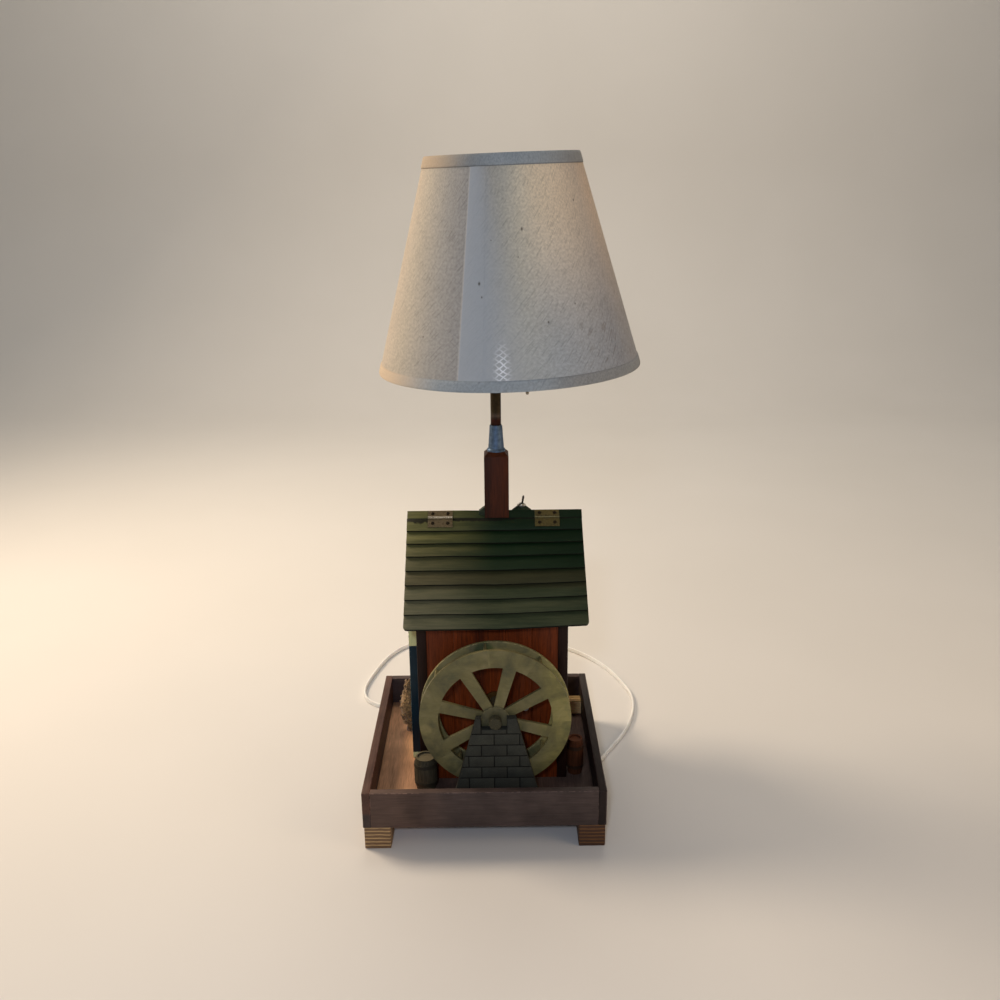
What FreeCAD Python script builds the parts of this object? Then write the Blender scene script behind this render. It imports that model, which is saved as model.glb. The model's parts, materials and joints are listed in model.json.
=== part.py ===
"""Water-mill table lamp with a motor-driven wheel, as separate pieces in one frame.

Millimetres, +Z up, table at Z = 0, the wheel side facing -Y. The origin lies on the
table under the middle of the overall footprint of tray and shade.
"""
import os
import FreeCAD
import Part
from math import cos, pi, radians, sin, sqrt, tan

V = FreeCAD.Vector
UP = V(0, 0, 1)
os.makedirs("parts", exist_ok=True)

# Clearances, and how far a cutter reaches past what it cuts
GAP = 0.3                 # between pieces that move past each other
RUN = 0.08                # radial play of a shaft in its bearing
CUT = 100.0

# Tray: four rails round a floor board, on block feet
TRAY_X = -18.0            # tray centre from the origin
TRAY_Y = -15.0
TRAY_W = 240.0
TRAY_D = 244.6
RAIL_T = 8.0
RAIL_H = 39.0
FLOOR_T = 7.0
FOOT_W = 26.0
FOOT_D = 45.0
FOOT_H = 24.0
FOOT_IN = 1.0             # feet stand in from the side rails' faces

# Mill house
YARD_LEFT = 45.0          # floor between the tray's left rail and the house
YARD_RIGHT = 26.5
HOUSE_FRONT = -64.0       # outer face of the front corner posts
HOUSE_REAR = 78.0
WALL_T = 6.0
CORNER = 10.0             # square corner posts
WALL_BACK = 1.0           # the planks lie this far behind the post faces
PLANK_W = 26.4
GROOVE = 1.0

# Roof: a fixed cap and rear slope, and a front slope that is the lid
RIDGE_Y = 7.0
RIDGE_Z = 304.7
PITCH = radians(43.4)
EAVE_LEFT = 10.3          # roof beyond the house at each gable
EAVE_RIGHT = 17.8
DECK_T = 4.0
BOARD_T = 3.6             # thick lower edge of a clapboard
BOARD_THIN = 1.2          # thin upper edge
CAP_AHEAD = 6.2           # ridge cap in front of the ridge line, measured level
CAP_BEHIND = 2.4          # and behind it
TOP_BOARD_END = 23.3      # slope length down to the first clapboard's lower edge
SHORT_EXPOSURE = 14.5
LONG_EXPOSURE = 15.8
UPPER_COUNT = 2           # boards with the short exposure
LOWER_COUNT = 5           # and with the long one
DECK_SHORT = 5.0          # the deck ends this far inside the last board
LID_GAP = 0.4

# Lid hinges
HINGE_W = 25.4
HINGE_IN_LEFT = 34.2      # middle of a hinge from the end of the roof
HINGE_IN_RIGHT = 36.1
LEAF_T = 0.8
LEAF_UP = 8.4
LEAF_DOWN = 10.8
KNUCKLE_R = 1.5
HINGE_PIN_R = 0.7
KNUCKLES = 5
SCREW_HEAD_R = 1.9
SCREW_HEAD_H = 0.8
SCREW_R = 0.9
SCREW_L = 3.0
SCREW_SPREAD = 15.6

# Post, neck and lamp pipe
LAMP_OFF = 6.15           # post and lamp from the middle of the house
LAMP_Y = 13.6
POST_W = 25.0
POST_TOP = 367.0
POST_CHAMFER = 4.0
LEAD_HOLE_Z = 236.0       # side hole for the lead, inside the house
NECK_H = 27.0
NECK_R_TOP = 6.5
NECK_R_BASE = 8.1
NECK_FLANGE_R = 9.4
NECK_FLANGE_T = 1.6
PIPE_R = 5.3
PIPE_BORE_R = 3.6
PIPE_SUNK = 30.0          # length of pipe inside the post
PIPE_STAND = 48.0         # free length above the neck

# Lamp holder
NUT_AF = 15.0
NUT_H = 3.6
SADDLE_SPAN = 54.0
SADDLE_T = 1.6
SADDLE_W = 13.0
SADDLE_EAR = 12.0
CAP_R = 17.0
CAP_H = 19.0
SHELL_H = 36.0
SOCKET_WALL = 0.8
SCREW_SHELL_R = 13.9
BASE_R = 13.1             # lamp base
BASE_H = 24.0
BULB_R = 30.0
BULB_H = 82.0
BULB_WALL = 0.8
GUIDE_REACH = 32.0        # pull chain from the lamp axis
GUIDE_R = 3.8
GUIDE_BORE_R = 2.2
GUIDE_H = 16.0
BEAD_R = 1.6
BEAD_PITCH = 4.05
BEAD_COUNT = 7
END_BEAD_R = 1.8

# Harp and shade: the harp leans, and its crown tips the shade
HARP_H = 205.0
HARP_LEAN_X = 8.5         # crown from the lamp axis
HARP_LEAN_Y = -5.4
HARP_WIRE_R = 1.6
HARP_HALF_W = 56.0
HARP_STRAIGHT = 22.0      # wire above its foot before it spreads
HARP_SPREAD_AT = 62.0     # heights between which the wires are widest apart
HARP_CLOSE_AT = 110.0
HARP_SHOULDER = 26.0      # below the crown
HARP_FOOT_R = 3.1
HARP_FOOT_H = 15.0
CROWN_R = 7.0
CROWN_T = 4.0
STUD_R = 3.1
STUD_L = 9.0
SHADE_TIP_X = -1.73       # degrees, top leaning to -X
SHADE_TIP_Y = -0.57       # degrees, top leaning to -Y
SHADE_R_TOP = 72.4
SHADE_R_BOTTOM = 128.5
SHADE_H = 199.1
SHADE_T = 1.0
TRIM_TOP_H = 10.8
TRIM_BOTTOM_H = 9.8
TRIM_T = 0.8
TRIM_GLUE = 0.25          # glue line between trim and cone
SPIDER_DROP = 13.0        # the spider's washer below the top edge
FRAME_WIRE_R = 1.2
WASHER_R = 9.0
WASHER_T = 1.2
ARM_COUNT = 3
SPIDER_PLAY = 0.4         # of the washer round the crown's stud
FINIAL_R = 5.5
FINIAL_H = 12.8

# Water wheel
WHEEL_OFF = 2.25          # wheel axis from the middle of the house
WHEEL_Z = 121.8
WHEEL_FRONT = -101.0      # front face of the spoked disc
WHEEL_R = 75.4
RIM_W = 18.6
WHEEL_T = 3.5
WHEEL_DEPTH = 23.3
SPOKE_COUNT = 8
SPOKE_FIRST = 30.0
SPOKE_W_HUB = 8.8
SPOKE_W_RIM = 13.4
PADDLE_T = 2.4
PADDLE_IN = 1.0           # paddles stop this far inside the rims' edges
HUB_R = 14.4
HUB_T = 1.2
AXLE_R = 6.0
AXLE_IN = 7.0             # the axle reaches this far inside the wall

# Stone pier
PIER_T = 7.6
PIER_OFF = 0.7            # middle of the pier from the wheel axis
PIER_TOP_W = 39.5
PIER_BASE_W = 91.0
PIER_OVER = 5.8           # stone above the axle centre
TOP_COURSE_H = 16.6
COURSE_H = 12.35
BRICK_L = 25.3
NOTCH_OFF = -1.4          # middle of the notched top brick from the wheel axis
MORTAR_W = 1.0
MORTAR_D = 0.7

# Gear motor and its drive
STANDOFF_L = 20.0
STANDOFF_R = 3.6
MOTOR_R = 24.0
MOTOR_L = 20.0
MOTOR_DROP = 9.0          # the can's centre below its shaft
PLATE_T = 1.6
EAR_SPAN = 62.0
EAR_R = 6.0
BOSS_R = 5.5
BOSS_H = 2.0
SHAFT_R = 3.0
COUPLER_R = 8.6
COUPLER_L = 15.4
BUSH_WALL = 2.2
BUSH_FLANGE_R = 11.0
BUSH_FLANGE_T = 1.5
MOUNT_SCREW_R = 1.7

# Goods standing on the tray
BARREL_L_IN = 51.0        # from the inner face of the left rail
BARREL_L_BACK = 51.8      # from the inner face of the front rail
BARREL_L_R = 12.2
BARREL_L_H = 36.0
BARREL_R_OUT = 9.7        # from the right face of the house
BARREL_R_BACK = 77.3
BARREL_R_R = 9.3
BARREL_R_H = 40.0
BARREL_BILGE = 0.84       # end radius as a share of the belly radius
HOOP_T = 0.5
TREE_IN = 25.5            # from the inner face of the left rail
TREE_AHEAD = 63.3         # from the inner face of the rear rail
TREE_R = 11.5
TREE_H = 66.0
TRUNK_R = 4.0
TRUNK_H = 9.0
CRATE_PLAY = 0.3          # from the inner face of the right rail
CRATE_AHEAD = 26.3
CRATE_W = 25.0
CRATE_D = 14.0
CRATE_H = 17.0

# Filler wedge on the ridge, left of the post
FILLER_W = 6.0
FILLER_H = 4.6

# Side door
DOOR_FRONT = -23.0
DOOR_W = 48.0
DOOR_T = 12.6
SILL_H = 7.0
DOOR_H = 127.0
LINTEL_H = 22.0

# Toggle switch of the motor, on the rear slope
TOGGLE_OFF = 26.0         # from the lamp axis
TOGGLE_Y = 17.7
PAD_R = 10.2              # mound that carries the switch upright
PAD_TOP_R = 4.6
PAD_TOP_Z = 305.6
PAD_SHOULDER_Z = 301.0
PAD_SKIN = 3.6
TOGGLE_BODY_X = 13.0
TOGGLE_BODY_Y = 8.0
TOGGLE_BODY_H = 10.0
TOGGLE_BUSH_R = 3.0
TOGGLE_BUSH_H = 6.4
TOGGLE_NUT_AF = 7.6
TOGGLE_NUT_H = 2.0
LEVER_R = 1.3
LEVER_L = 12.0            # from its pivot in the bush
LEVER_TIP = 10.0          # degrees from upright, along the ridge
LEVER_PIN_R = 0.6         # pivot pin across the bush

# Mains cord, its strain relief, coil and plug
RELIEF_IN = 60.0          # from the tray's right face
RELIEF_Y = -5.0
RELIEF_PLUG_R = 5.0
RELIEF_FLANGE_R = 9.0
RELIEF_FLANGE_T = 2.0
RELIEF_DROP = 8.5         # sleeve axis below the floor board
RELIEF_L = 26.0
RELIEF_R0 = 5.6
RELIEF_R1 = 3.7
CORD_R = 2.8
COIL_X = -10.0
COIL_Y = 180.0
COIL_R = 33.0             # middle of the turns
COIL_HALF_W = 3.0
COIL_H = 11.4
PLUG_TURN = -60.0         # where on the coil the cord leaves it for the plug, degrees
PLUG_W = 20.0
PLUG_L = 26.0
PLUG_H = 12.0
PLUG_NECK_R = 3.4
PRONG_APART = 12.7
PRONG_W = 6.3
PRONG_T = 1.5
PRONG_L = 16.0
LEAD_R = 1.1
NUT_APART = 10.4          # between the two wire nuts
LEAD_FALL = 30.0          # height in which a lead moves across to the motor
MOTOR_LEAD_NEAR = 10.0    # the motor's two leads, from the wheel axis
MOTOR_LEAD_FAR = 15.0

# Derived levels and places
FLOOR_Z = FOOT_H + FLOOR_T
BODY_TOP = PAD_TOP_Z - PAD_SKIN             # top of the toggle switch's case
RAIL_Z = FOOT_H + RAIL_H
SINP = sin(PITCH)
COSP = cos(PITCH)
ROOF_T = DECK_T + BOARD_T
SLOPE_L = TOP_BOARD_END + UPPER_COUNT * SHORT_EXPOSURE + LOWER_COUNT * LONG_EXPOSURE
CAP_FRONT = RIDGE_Y - CAP_AHEAD
CAP_REAR = RIDGE_Y + CAP_BEHIND
LID_TOP = CAP_FRONT - LID_GAP
TRAY_IN_LEFT = TRAY_X - TRAY_W / 2 + RAIL_T
TRAY_IN_RIGHT = TRAY_X + TRAY_W / 2 - RAIL_T
TRAY_IN_FRONT = TRAY_Y - TRAY_D / 2 + RAIL_T
TRAY_IN_REAR = TRAY_Y + TRAY_D / 2 - RAIL_T
HOUSE_X0 = TRAY_IN_LEFT + YARD_LEFT
HOUSE_X1 = TRAY_IN_RIGHT - YARD_RIGHT
HOUSE_X = (HOUSE_X0 + HOUSE_X1) / 2
ROOF_X0 = HOUSE_X0 - EAVE_LEFT
ROOF_X1 = HOUSE_X1 + EAVE_RIGHT
HINGE_LEFT = ROOF_X0 + HINGE_IN_LEFT
HINGE_RIGHT = ROOF_X1 - HINGE_IN_RIGHT
LAMP_X = HOUSE_X + LAMP_OFF
WHEEL_X = HOUSE_X + WHEEL_OFF
PIER_X = WHEEL_X + PIER_OFF
NOTCH_X = WHEEL_X + NOTCH_OFF
TOGGLE_X = LAMP_X + TOGGLE_OFF
BARREL_L_X = TRAY_IN_LEFT + BARREL_L_IN
BARREL_L_Y = TRAY_IN_FRONT + BARREL_L_BACK
BARREL_R_X = HOUSE_X1 + BARREL_R_OUT
BARREL_R_Y = TRAY_IN_FRONT + BARREL_R_BACK
TREE_X = TRAY_IN_LEFT + TREE_IN
TREE_Y = TRAY_IN_REAR - TREE_AHEAD
CRATE_X = TRAY_IN_RIGHT - CRATE_PLAY - CRATE_W / 2
CRATE_Y = TRAY_IN_REAR - CRATE_AHEAD
RELIEF_X = TRAY_X + TRAY_W / 2 - RELIEF_IN
WALL_IN = HOUSE_FRONT + WALL_BACK + WALL_T      # inner face of the front wall
PIER_REAR = WHEEL_FRONT - HUB_T - GAP
PIER_FRONT = PIER_REAR - PIER_T
AXLE_REAR = WALL_IN + AXLE_IN
MOTOR_FACE = WALL_IN + STANDOFF_L
NECK_TOP = POST_TOP + NECK_H
PIPE_TOP = NECK_TOP + PIPE_STAND
SADDLE_Z = NECK_TOP + PIPE_STAND - 6.0
CAP_Z = SADDLE_Z + SADDLE_T


def save(name, *solids):
    """Write one sub-part, as one solid or a group of them."""
    shape = solids[0] if len(solids) == 1 else Part.makeCompound(list(solids))
    assert shape.isValid() and all(s.Volume > 0 for s in shape.Solids), name
    shape.exportStep(f"parts/{name}.step")
    print(f"{name:22s} solids {len(shape.Solids):2d}  volume {shape.Volume:12.1f}")


def block(x0, x1, y0, y1, z0, z1):
    """Rectangular block between two corners."""
    return Part.makeBox(x1 - x0, y1 - y0, z1 - z0, V(x0, y0, z0))


def rod(start, direction, radius, length):
    """Round bar from a point along a direction."""
    return Part.makeCylinder(radius, length, start, direction)


def face_of(points):
    """Flat face inside a closed run of corners."""
    return Part.Face(Part.makePolygon(points + points[:1]))


def prism_x(profile, x0, x1):
    """Profile of (y, z) corners, drawn out along X."""
    return face_of([V(x0, y, z) for y, z in profile]).extrude(V(x1 - x0, 0, 0))


def prism_y(profile, y0, y1):
    """Profile of (x, z) corners, drawn out along Y."""
    return face_of([V(x, y0, z) for x, z in profile]).extrude(V(0, y1 - y0, 0))


def turned(profile, base=V(0, 0, 0), axis=UP):
    """Body of revolution from (radius, height) corners, stood on base along axis."""
    solid = face_of([V(r, 0, h) for r, h in profile]).revolve(V(0, 0, 0), UP, 360)
    place(solid, base, axis)
    return solid


def place(shape, base, axis):
    """Turn a shape made along +Z so that it stands along axis, at base."""
    shape.Placement = FreeCAD.Placement(base, FreeCAD.Rotation(UP, axis)).multiply(shape.Placement)


def hexagon(across_flats, height, base, axis, bore):
    """Hex nut with a plain bore."""
    r = across_flats / 2 / cos(pi / 6)
    corners = [V(r * cos(k * pi / 3), r * sin(k * pi / 3), 0) for k in range(6)]
    nut = face_of(corners).extrude(V(0, 0, height))
    nut = nut.cut(Part.makeCylinder(bore, height))
    place(nut, base, axis)
    return nut


def roof_point(s, n, side):
    """(y, z) of a point s down the slope and n above it; side -1 front, +1 rear."""
    return (RIDGE_Y + side * (s * COSP + n * SINP), RIDGE_Z - s * SINP + n * COSP)


def roof_at(y, n, side):
    """(y, z) where the plane n above the slope crosses a given y."""
    s = (side * (y - RIDGE_Y) - n * SINP) / COSP
    return roof_point(s, n, side)


def rounded_route(points, widest=1e6):
    """Straight runs joined by the largest arcs that 0.45 of the shorter run allows."""
    points = [V(*p) for p in points]
    edges, radii, start = [], [], points[0]
    for before, corner, after in zip(points, points[1:], points[2:]):
        back, onward = (before - corner), (after - corner)
        half_turn = (pi - back.getAngle(onward)) / 2
        reach = min(0.45 * min(back.Length, onward.Length), widest * tan(half_turn))
        back.normalize()
        onward.normalize()
        radius = reach / tan(half_turn)
        enter, leave = corner + back * reach, corner + onward * reach
        middle_dir = back + onward
        middle_dir.normalize()
        middle = corner + middle_dir * (radius / cos(half_turn) - radius)
        edges.append(Part.LineSegment(start, enter).toShape())
        edges.append(Part.Arc(enter, middle, leave).toShape())
        radii.append(radius)
        start = leave
    edges.append(Part.LineSegment(start, points[-1]).toShape())
    return Part.Wire(edges), radii


def tube(points, radius, widest=1e6):
    """Round tube along a rounded route."""
    wire, radii = rounded_route(points, widest)
    start, ahead = V(*points[0]), V(*points[1]) - V(*points[0])
    ring = Part.Wire(Part.makeCircle(radius, start, ahead))
    solid = wire.makePipeShell([ring], True, False, 2)
    return solid, wire.Length, radii


# ---------------------------------------------------------------- tray
def make_tray():
    x0, x1 = TRAY_X - TRAY_W / 2, TRAY_X + TRAY_W / 2
    y0, y1 = TRAY_Y - TRAY_D / 2, TRAY_Y + TRAY_D / 2
    floor = block(x0 + RAIL_T, x1 - RAIL_T, y0 + RAIL_T, y1 - RAIL_T, FOOT_H, FLOOR_Z)
    relief_hole = rod(V(RELIEF_X, RELIEF_Y, FOOT_H), UP, RELIEF_PLUG_R, FLOOR_T)
    save("tray_floor", floor.cut(relief_hole))
    save("tray_rail_left", block(x0, x0 + RAIL_T, y0, y1, FOOT_H, RAIL_Z))
    save("tray_rail_right", block(x1 - RAIL_T, x1, y0, y1, FOOT_H, RAIL_Z))
    save("tray_rail_front", block(x0 + RAIL_T, x1 - RAIL_T, y0, y0 + RAIL_T, FOOT_H, RAIL_Z))
    save("tray_rail_rear", block(x0 + RAIL_T, x1 - RAIL_T, y1 - RAIL_T, y1, FOOT_H, RAIL_Z))
    feet = [block(fx, fx + FOOT_W, fy, fy + FOOT_D, 0, FOOT_H)
            for fx in (x0 + FOOT_IN, x1 - FOOT_IN - FOOT_W) for fy in (y0, y1 - FOOT_D)]
    save("feet", *feet)


# ---------------------------------------------------------------- house
def plank_grooves(start, end, z1, outer, along_x):
    """V grooves between the planks of a wall, as cutters over its outer face."""
    count = max(1, round((end - start) / PLANK_W))
    pitch = (end - start) / count
    cutters = []
    for k in range(1, count):
        c = start + k * pitch
        if along_x:
            tri = [(c - GROOVE, outer[0]), (c + GROOVE, outer[0]), (c, outer[1])]
        else:
            tri = [(outer[0], c - GROOVE), (outer[0], c + GROOVE), (outer[1], c)]
        cutters.append(face_of([V(x, y, FLOOR_Z) for x, y in tri]).extrude(V(0, 0, z1)))
    return cutters


def make_house():
    under = -ROOF_T
    seat = under - GAP
    front_in = HOUSE_FRONT + WALL_BACK
    rear_out = HOUSE_REAR - WALL_BACK
    xa, xb = HOUSE_X0 + CORNER, HOUSE_X1 - CORNER

    front = prism_x([(front_in, FLOOR_Z), (WALL_IN, FLOOR_Z),
                     roof_at(WALL_IN, seat, -1), roof_at(front_in, seat, -1)], xa, xb)
    cuts = plank_grooves(xa, xb, RIDGE_Z, (front_in, front_in + GROOVE), True)
    cuts.append(rod(V(WHEEL_X, front_in, WHEEL_Z), V(0, 1, 0), AXLE_R + RUN + BUSH_WALL, WALL_T))
    for side in (-1, 1):
        start = V(WHEEL_X + side * EAR_SPAN / 2, front_in, WHEEL_Z - MOTOR_DROP)
        cuts.append(rod(start, V(0, 1, 0), MOUNT_SCREW_R, WALL_T))
        cuts.append(rod(start, V(0, 1, 0), 2 * MOUNT_SCREW_R, MOUNT_SCREW_R))
    save("wall_front", front.cut(cuts))

    rear = prism_x([(rear_out - WALL_T, FLOOR_Z), (rear_out, FLOOR_Z),
                    roof_at(rear_out, under, 1), roof_at(rear_out - WALL_T, under, 1)], xa, xb)
    save("wall_rear", rear.cut(plank_grooves(xa, xb, RIDGE_Z, (rear_out, rear_out - GROOVE), True)))

    ya, yb = HOUSE_FRONT + CORNER, HOUSE_REAR - CORNER
    gable = [(ya, FLOOR_Z), (yb, FLOOR_Z), roof_at(yb, under, 1), roof_at(RIDGE_Y, under, 1),
             roof_at(RIDGE_Y, seat, -1), roof_at(ya, seat, -1)]
    left_out, right_out = HOUSE_X0 + WALL_BACK, HOUSE_X1 - WALL_BACK
    left = prism_x(gable, left_out, left_out + WALL_T)
    save("wall_left", left.cut(plank_grooves(ya, yb, RIDGE_Z, (left_out, left_out + GROOVE), False)))
    right = prism_x(gable, right_out - WALL_T, right_out)
    save("wall_right",
         right.cut(plank_grooves(ya, yb, RIDGE_Z, (right_out, right_out - GROOVE), False)))

    posts = []
    for x0 in (HOUSE_X0, HOUSE_X1 - CORNER):
        y0, y1 = HOUSE_FRONT, HOUSE_FRONT + CORNER
        posts.append(prism_x([(y0, FLOOR_Z), (y1, FLOOR_Z), roof_at(y1, seat, -1),
                              roof_at(y0, seat, -1)], x0, x0 + CORNER))
        y0, y1 = HOUSE_REAR - CORNER, HOUSE_REAR
        posts.append(prism_x([(y0, FLOOR_Z), (y1, FLOOR_Z), roof_at(y1, under, 1),
                              roof_at(y0, under, 1)], x0, x0 + CORNER))
    save("corner_posts", *posts)


# ---------------------------------------------------------------- roof
def post_box():
    h = POST_W / 2
    return block(LAMP_X - h, LAMP_X + h, LAMP_Y - h, LAMP_Y + h, FLOOR_Z, POST_TOP)


def slope_profile(cut_y, s_end, n_low, n_high, side):
    """Board along the slope whose upper end is cut plumb at cut_y."""
    return [roof_at(cut_y, n_low, side), roof_at(cut_y, n_high, side),
            roof_point(s_end, n_high, side), roof_point(s_end, n_low, side)]


def clapboards(cut_y, side):
    """Flat top board, then wedge boards that each show a thick lower edge."""
    boards = [prism_x(slope_profile(cut_y, TOP_BOARD_END, -BOARD_T, 0, side), ROOF_X0, ROOF_X1)]
    s = TOP_BOARD_END
    for exposure in [SHORT_EXPOSURE] * UPPER_COUNT + [LONG_EXPOSURE] * LOWER_COUNT:
        wedge = [roof_point(s, -BOARD_T, side), roof_point(s, BOARD_THIN - BOARD_T, side),
                 roof_point(s + exposure, 0, side), roof_point(s + exposure, -BOARD_T, side)]
        boards.append(prism_x(wedge, ROOF_X0, ROOF_X1))
        s += exposure
    return boards


def hinge_frame(side_n):
    """Hinge line point and the slope's directions: down the slope, and out of it."""
    down = V(0, -COSP, -SINP)
    out = V(0, -SINP, COSP)
    y, z = roof_at((CAP_FRONT + LID_TOP) / 2, side_n, -1)
    return V(0, y, z), down, out


def screw_places(down_sign):
    """Screw centres on one row of both hinges, on the roof surface."""
    line, down, _ = hinge_frame(0)
    reach = LEAF_UP if down_sign < 0 else LEAF_DOWN
    return [line + down * (down_sign * reach * 0.58) + V(x + side * SCREW_SPREAD / 2, 0, 0)
            for x in (HINGE_LEFT, HINGE_RIGHT) for side in (-1, 1)]


def pilots(down_sign):
    """Pilot hole cutters under the hinge screws."""
    out = hinge_frame(0)[2]
    return [rod(p - out * SCREW_L, out, SCREW_R, SCREW_L + 1) for p in screw_places(down_sign)]


def hinge_screws(down_sign):
    """Round-headed screws with a slot, through the leaf into the board."""
    out = hinge_frame(0)[2]
    screws = []
    for k, p in enumerate(screw_places(down_sign)):
        head = turned([(0, -SCREW_L), (SCREW_R, -SCREW_L), (SCREW_R, LEAF_T),
                       (SCREW_HEAD_R, LEAF_T), (SCREW_HEAD_R * 0.7, LEAF_T + SCREW_HEAD_H * 0.8),
                       (0, LEAF_T + SCREW_HEAD_H)])
        slot = block(-SCREW_HEAD_R, SCREW_HEAD_R, -0.25, 0.25, LEAF_T + SCREW_HEAD_H * 0.4,
                     LEAF_T + SCREW_HEAD_H * 2)
        slot.rotate(V(0, 0, 0), UP, 35 + 50 * k)
        screw = head.cut(slot)
        place(screw, p, out)
        screws.append(screw)
    return screws


def hinge_leaf(x, down_sign):
    """Leaf with its share of the knuckles; odd knuckles are on the lid's leaf."""
    line, down, out = hinge_frame(0)
    reach = LEAF_UP if down_sign < 0 else LEAF_DOWN
    axis_up = KNUCKLE_R * 0.5
    pitch = HINGE_W / KNUCKLES
    lies = V(0, 0, 0) + line + V(x - HINGE_W / 2, 0, 0)
    near = down * (down_sign * (LID_GAP / 2 + 0.1))
    far = down * (down_sign * reach)
    leaf = face_of([lies + near, lies + far, lies + far + V(HINGE_W, 0, 0),
                    lies + near + V(HINGE_W, 0, 0)]).extrude(out * LEAF_T)
    centre = lies + out * axis_up
    mine = 0 if down_sign < 0 else 1
    barrels, clear = [], []
    for k in range(KNUCKLES):
        start = centre + V(k * pitch, 0, 0)
        if k % 2 == mine:
            barrels.append(rod(start + V(GAP / 4, 0, 0), V(1, 0, 0), KNUCKLE_R, pitch - GAP / 2))
        else:
            clear.append(rod(start - V(GAP / 4, 0, 0), V(1, 0, 0), KNUCKLE_R + GAP, pitch + GAP / 2))
    leaf = leaf.cut(clear)
    for barrel in barrels:
        leaf = leaf.fuse(barrel)
    leaf = leaf.cut(rod(centre - V(1, 0, 0), V(1, 0, 0), HINGE_PIN_R + RUN, HINGE_W + 2))
    below = face_of([lies - out * 5 + down * 9, lies + down * 9, lies - down * 9,
                     lies - out * 5 - down * 9]).extrude(V(HINGE_W, 0, 0))
    leaf = leaf.cut(below)
    holes = [rod(p - out, out, SCREW_R + GAP / 3, LEAF_T + 2) for p in screw_places(down_sign)]
    return leaf.cut(holes).removeSplitter()


def make_roof():
    post = post_box()
    cap = [roof_at(CAP_FRONT, -ROOF_T, -1), roof_at(CAP_FRONT, 0, -1), (RIDGE_Y, RIDGE_Z),
           roof_at(CAP_REAR, 0, 1), roof_at(CAP_REAR, -ROOF_T, 1),
           roof_at(RIDGE_Y, -ROOF_T, 1)]
    line, _, out = hinge_frame(0)
    knuckle_bed = rod(V(ROOF_X0 - 1, 0, 0) + line + out * (KNUCKLE_R * 0.5), V(1, 0, 0),
                      KNUCKLE_R + GAP, ROOF_X1 - ROOF_X0 + 2)
    beds = []
    for x in (HINGE_LEFT, HINGE_RIGHT):
        slab = block(x - HINGE_W / 2 - GAP, x + HINGE_W / 2 + GAP, CAP_FRONT - CUT, RIDGE_Y,
                     RIDGE_Z - CUT, RIDGE_Z + CUT)
        beds.append(knuckle_bed.common(slab))
    cap_solid = prism_x(cap, ROOF_X0, ROOF_X1).cut(beds + pilots(-1))
    save("ridge_cap", *cap_solid.cut(block(LAMP_X - POST_W / 2, LAMP_X + POST_W / 2, CAP_FRONT - 1,
                                           CAP_REAR + 1, RIDGE_Z - CUT, RIDGE_Z + CUT)).Solids)

    deck_end = SLOPE_L - DECK_SHORT
    toggle_hole = rod(V(TOGGLE_X, TOGGLE_Y, BODY_TOP - 40), UP, PAD_R - 2.4, 40)
    deck = prism_x(slope_profile(CAP_REAR, deck_end, -ROOF_T, -BOARD_T, 1), ROOF_X0, ROOF_X1)
    save("rear_deck", deck.cut([post, toggle_hole]))
    rear = [b.cut([post, toggle_hole]) for b in clapboards(CAP_REAR, 1)]
    save("rear_clapboards", *[s for b in rear for s in b.Solids])

    lid = prism_x(slope_profile(LID_TOP, deck_end, -ROOF_T, -BOARD_T, -1), ROOF_X0, ROOF_X1)
    save("lid_deck", lid.cut(beds))
    boards = clapboards(LID_TOP, -1)
    boards[0] = boards[0].cut(beds + pilots(1))
    save("lid_clapboards", *boards)

    pins = [rod(line + out * (KNUCKLE_R * 0.5) + V(x - HINGE_W / 2, 0, 0), V(1, 0, 0),
                HINGE_PIN_R, HINGE_W) for x in (HINGE_LEFT, HINGE_RIGHT)]
    save("hinge_leaves_upper", *[hinge_leaf(x, -1) for x in (HINGE_LEFT, HINGE_RIGHT)], *pins)
    save("hinge_leaves_lower", *[hinge_leaf(x, 1) for x in (HINGE_LEFT, HINGE_RIGHT)])
    save("hinge_screws_upper", *hinge_screws(-1))
    save("hinge_screws_lower", *hinge_screws(1))
    y, z = (line + out * (KNUCKLE_R * 0.5)).y, (line + out * (KNUCKLE_R * 0.5)).z
    print(f"lid hinge axis y {y:.3f} z {z:.3f}")


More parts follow.
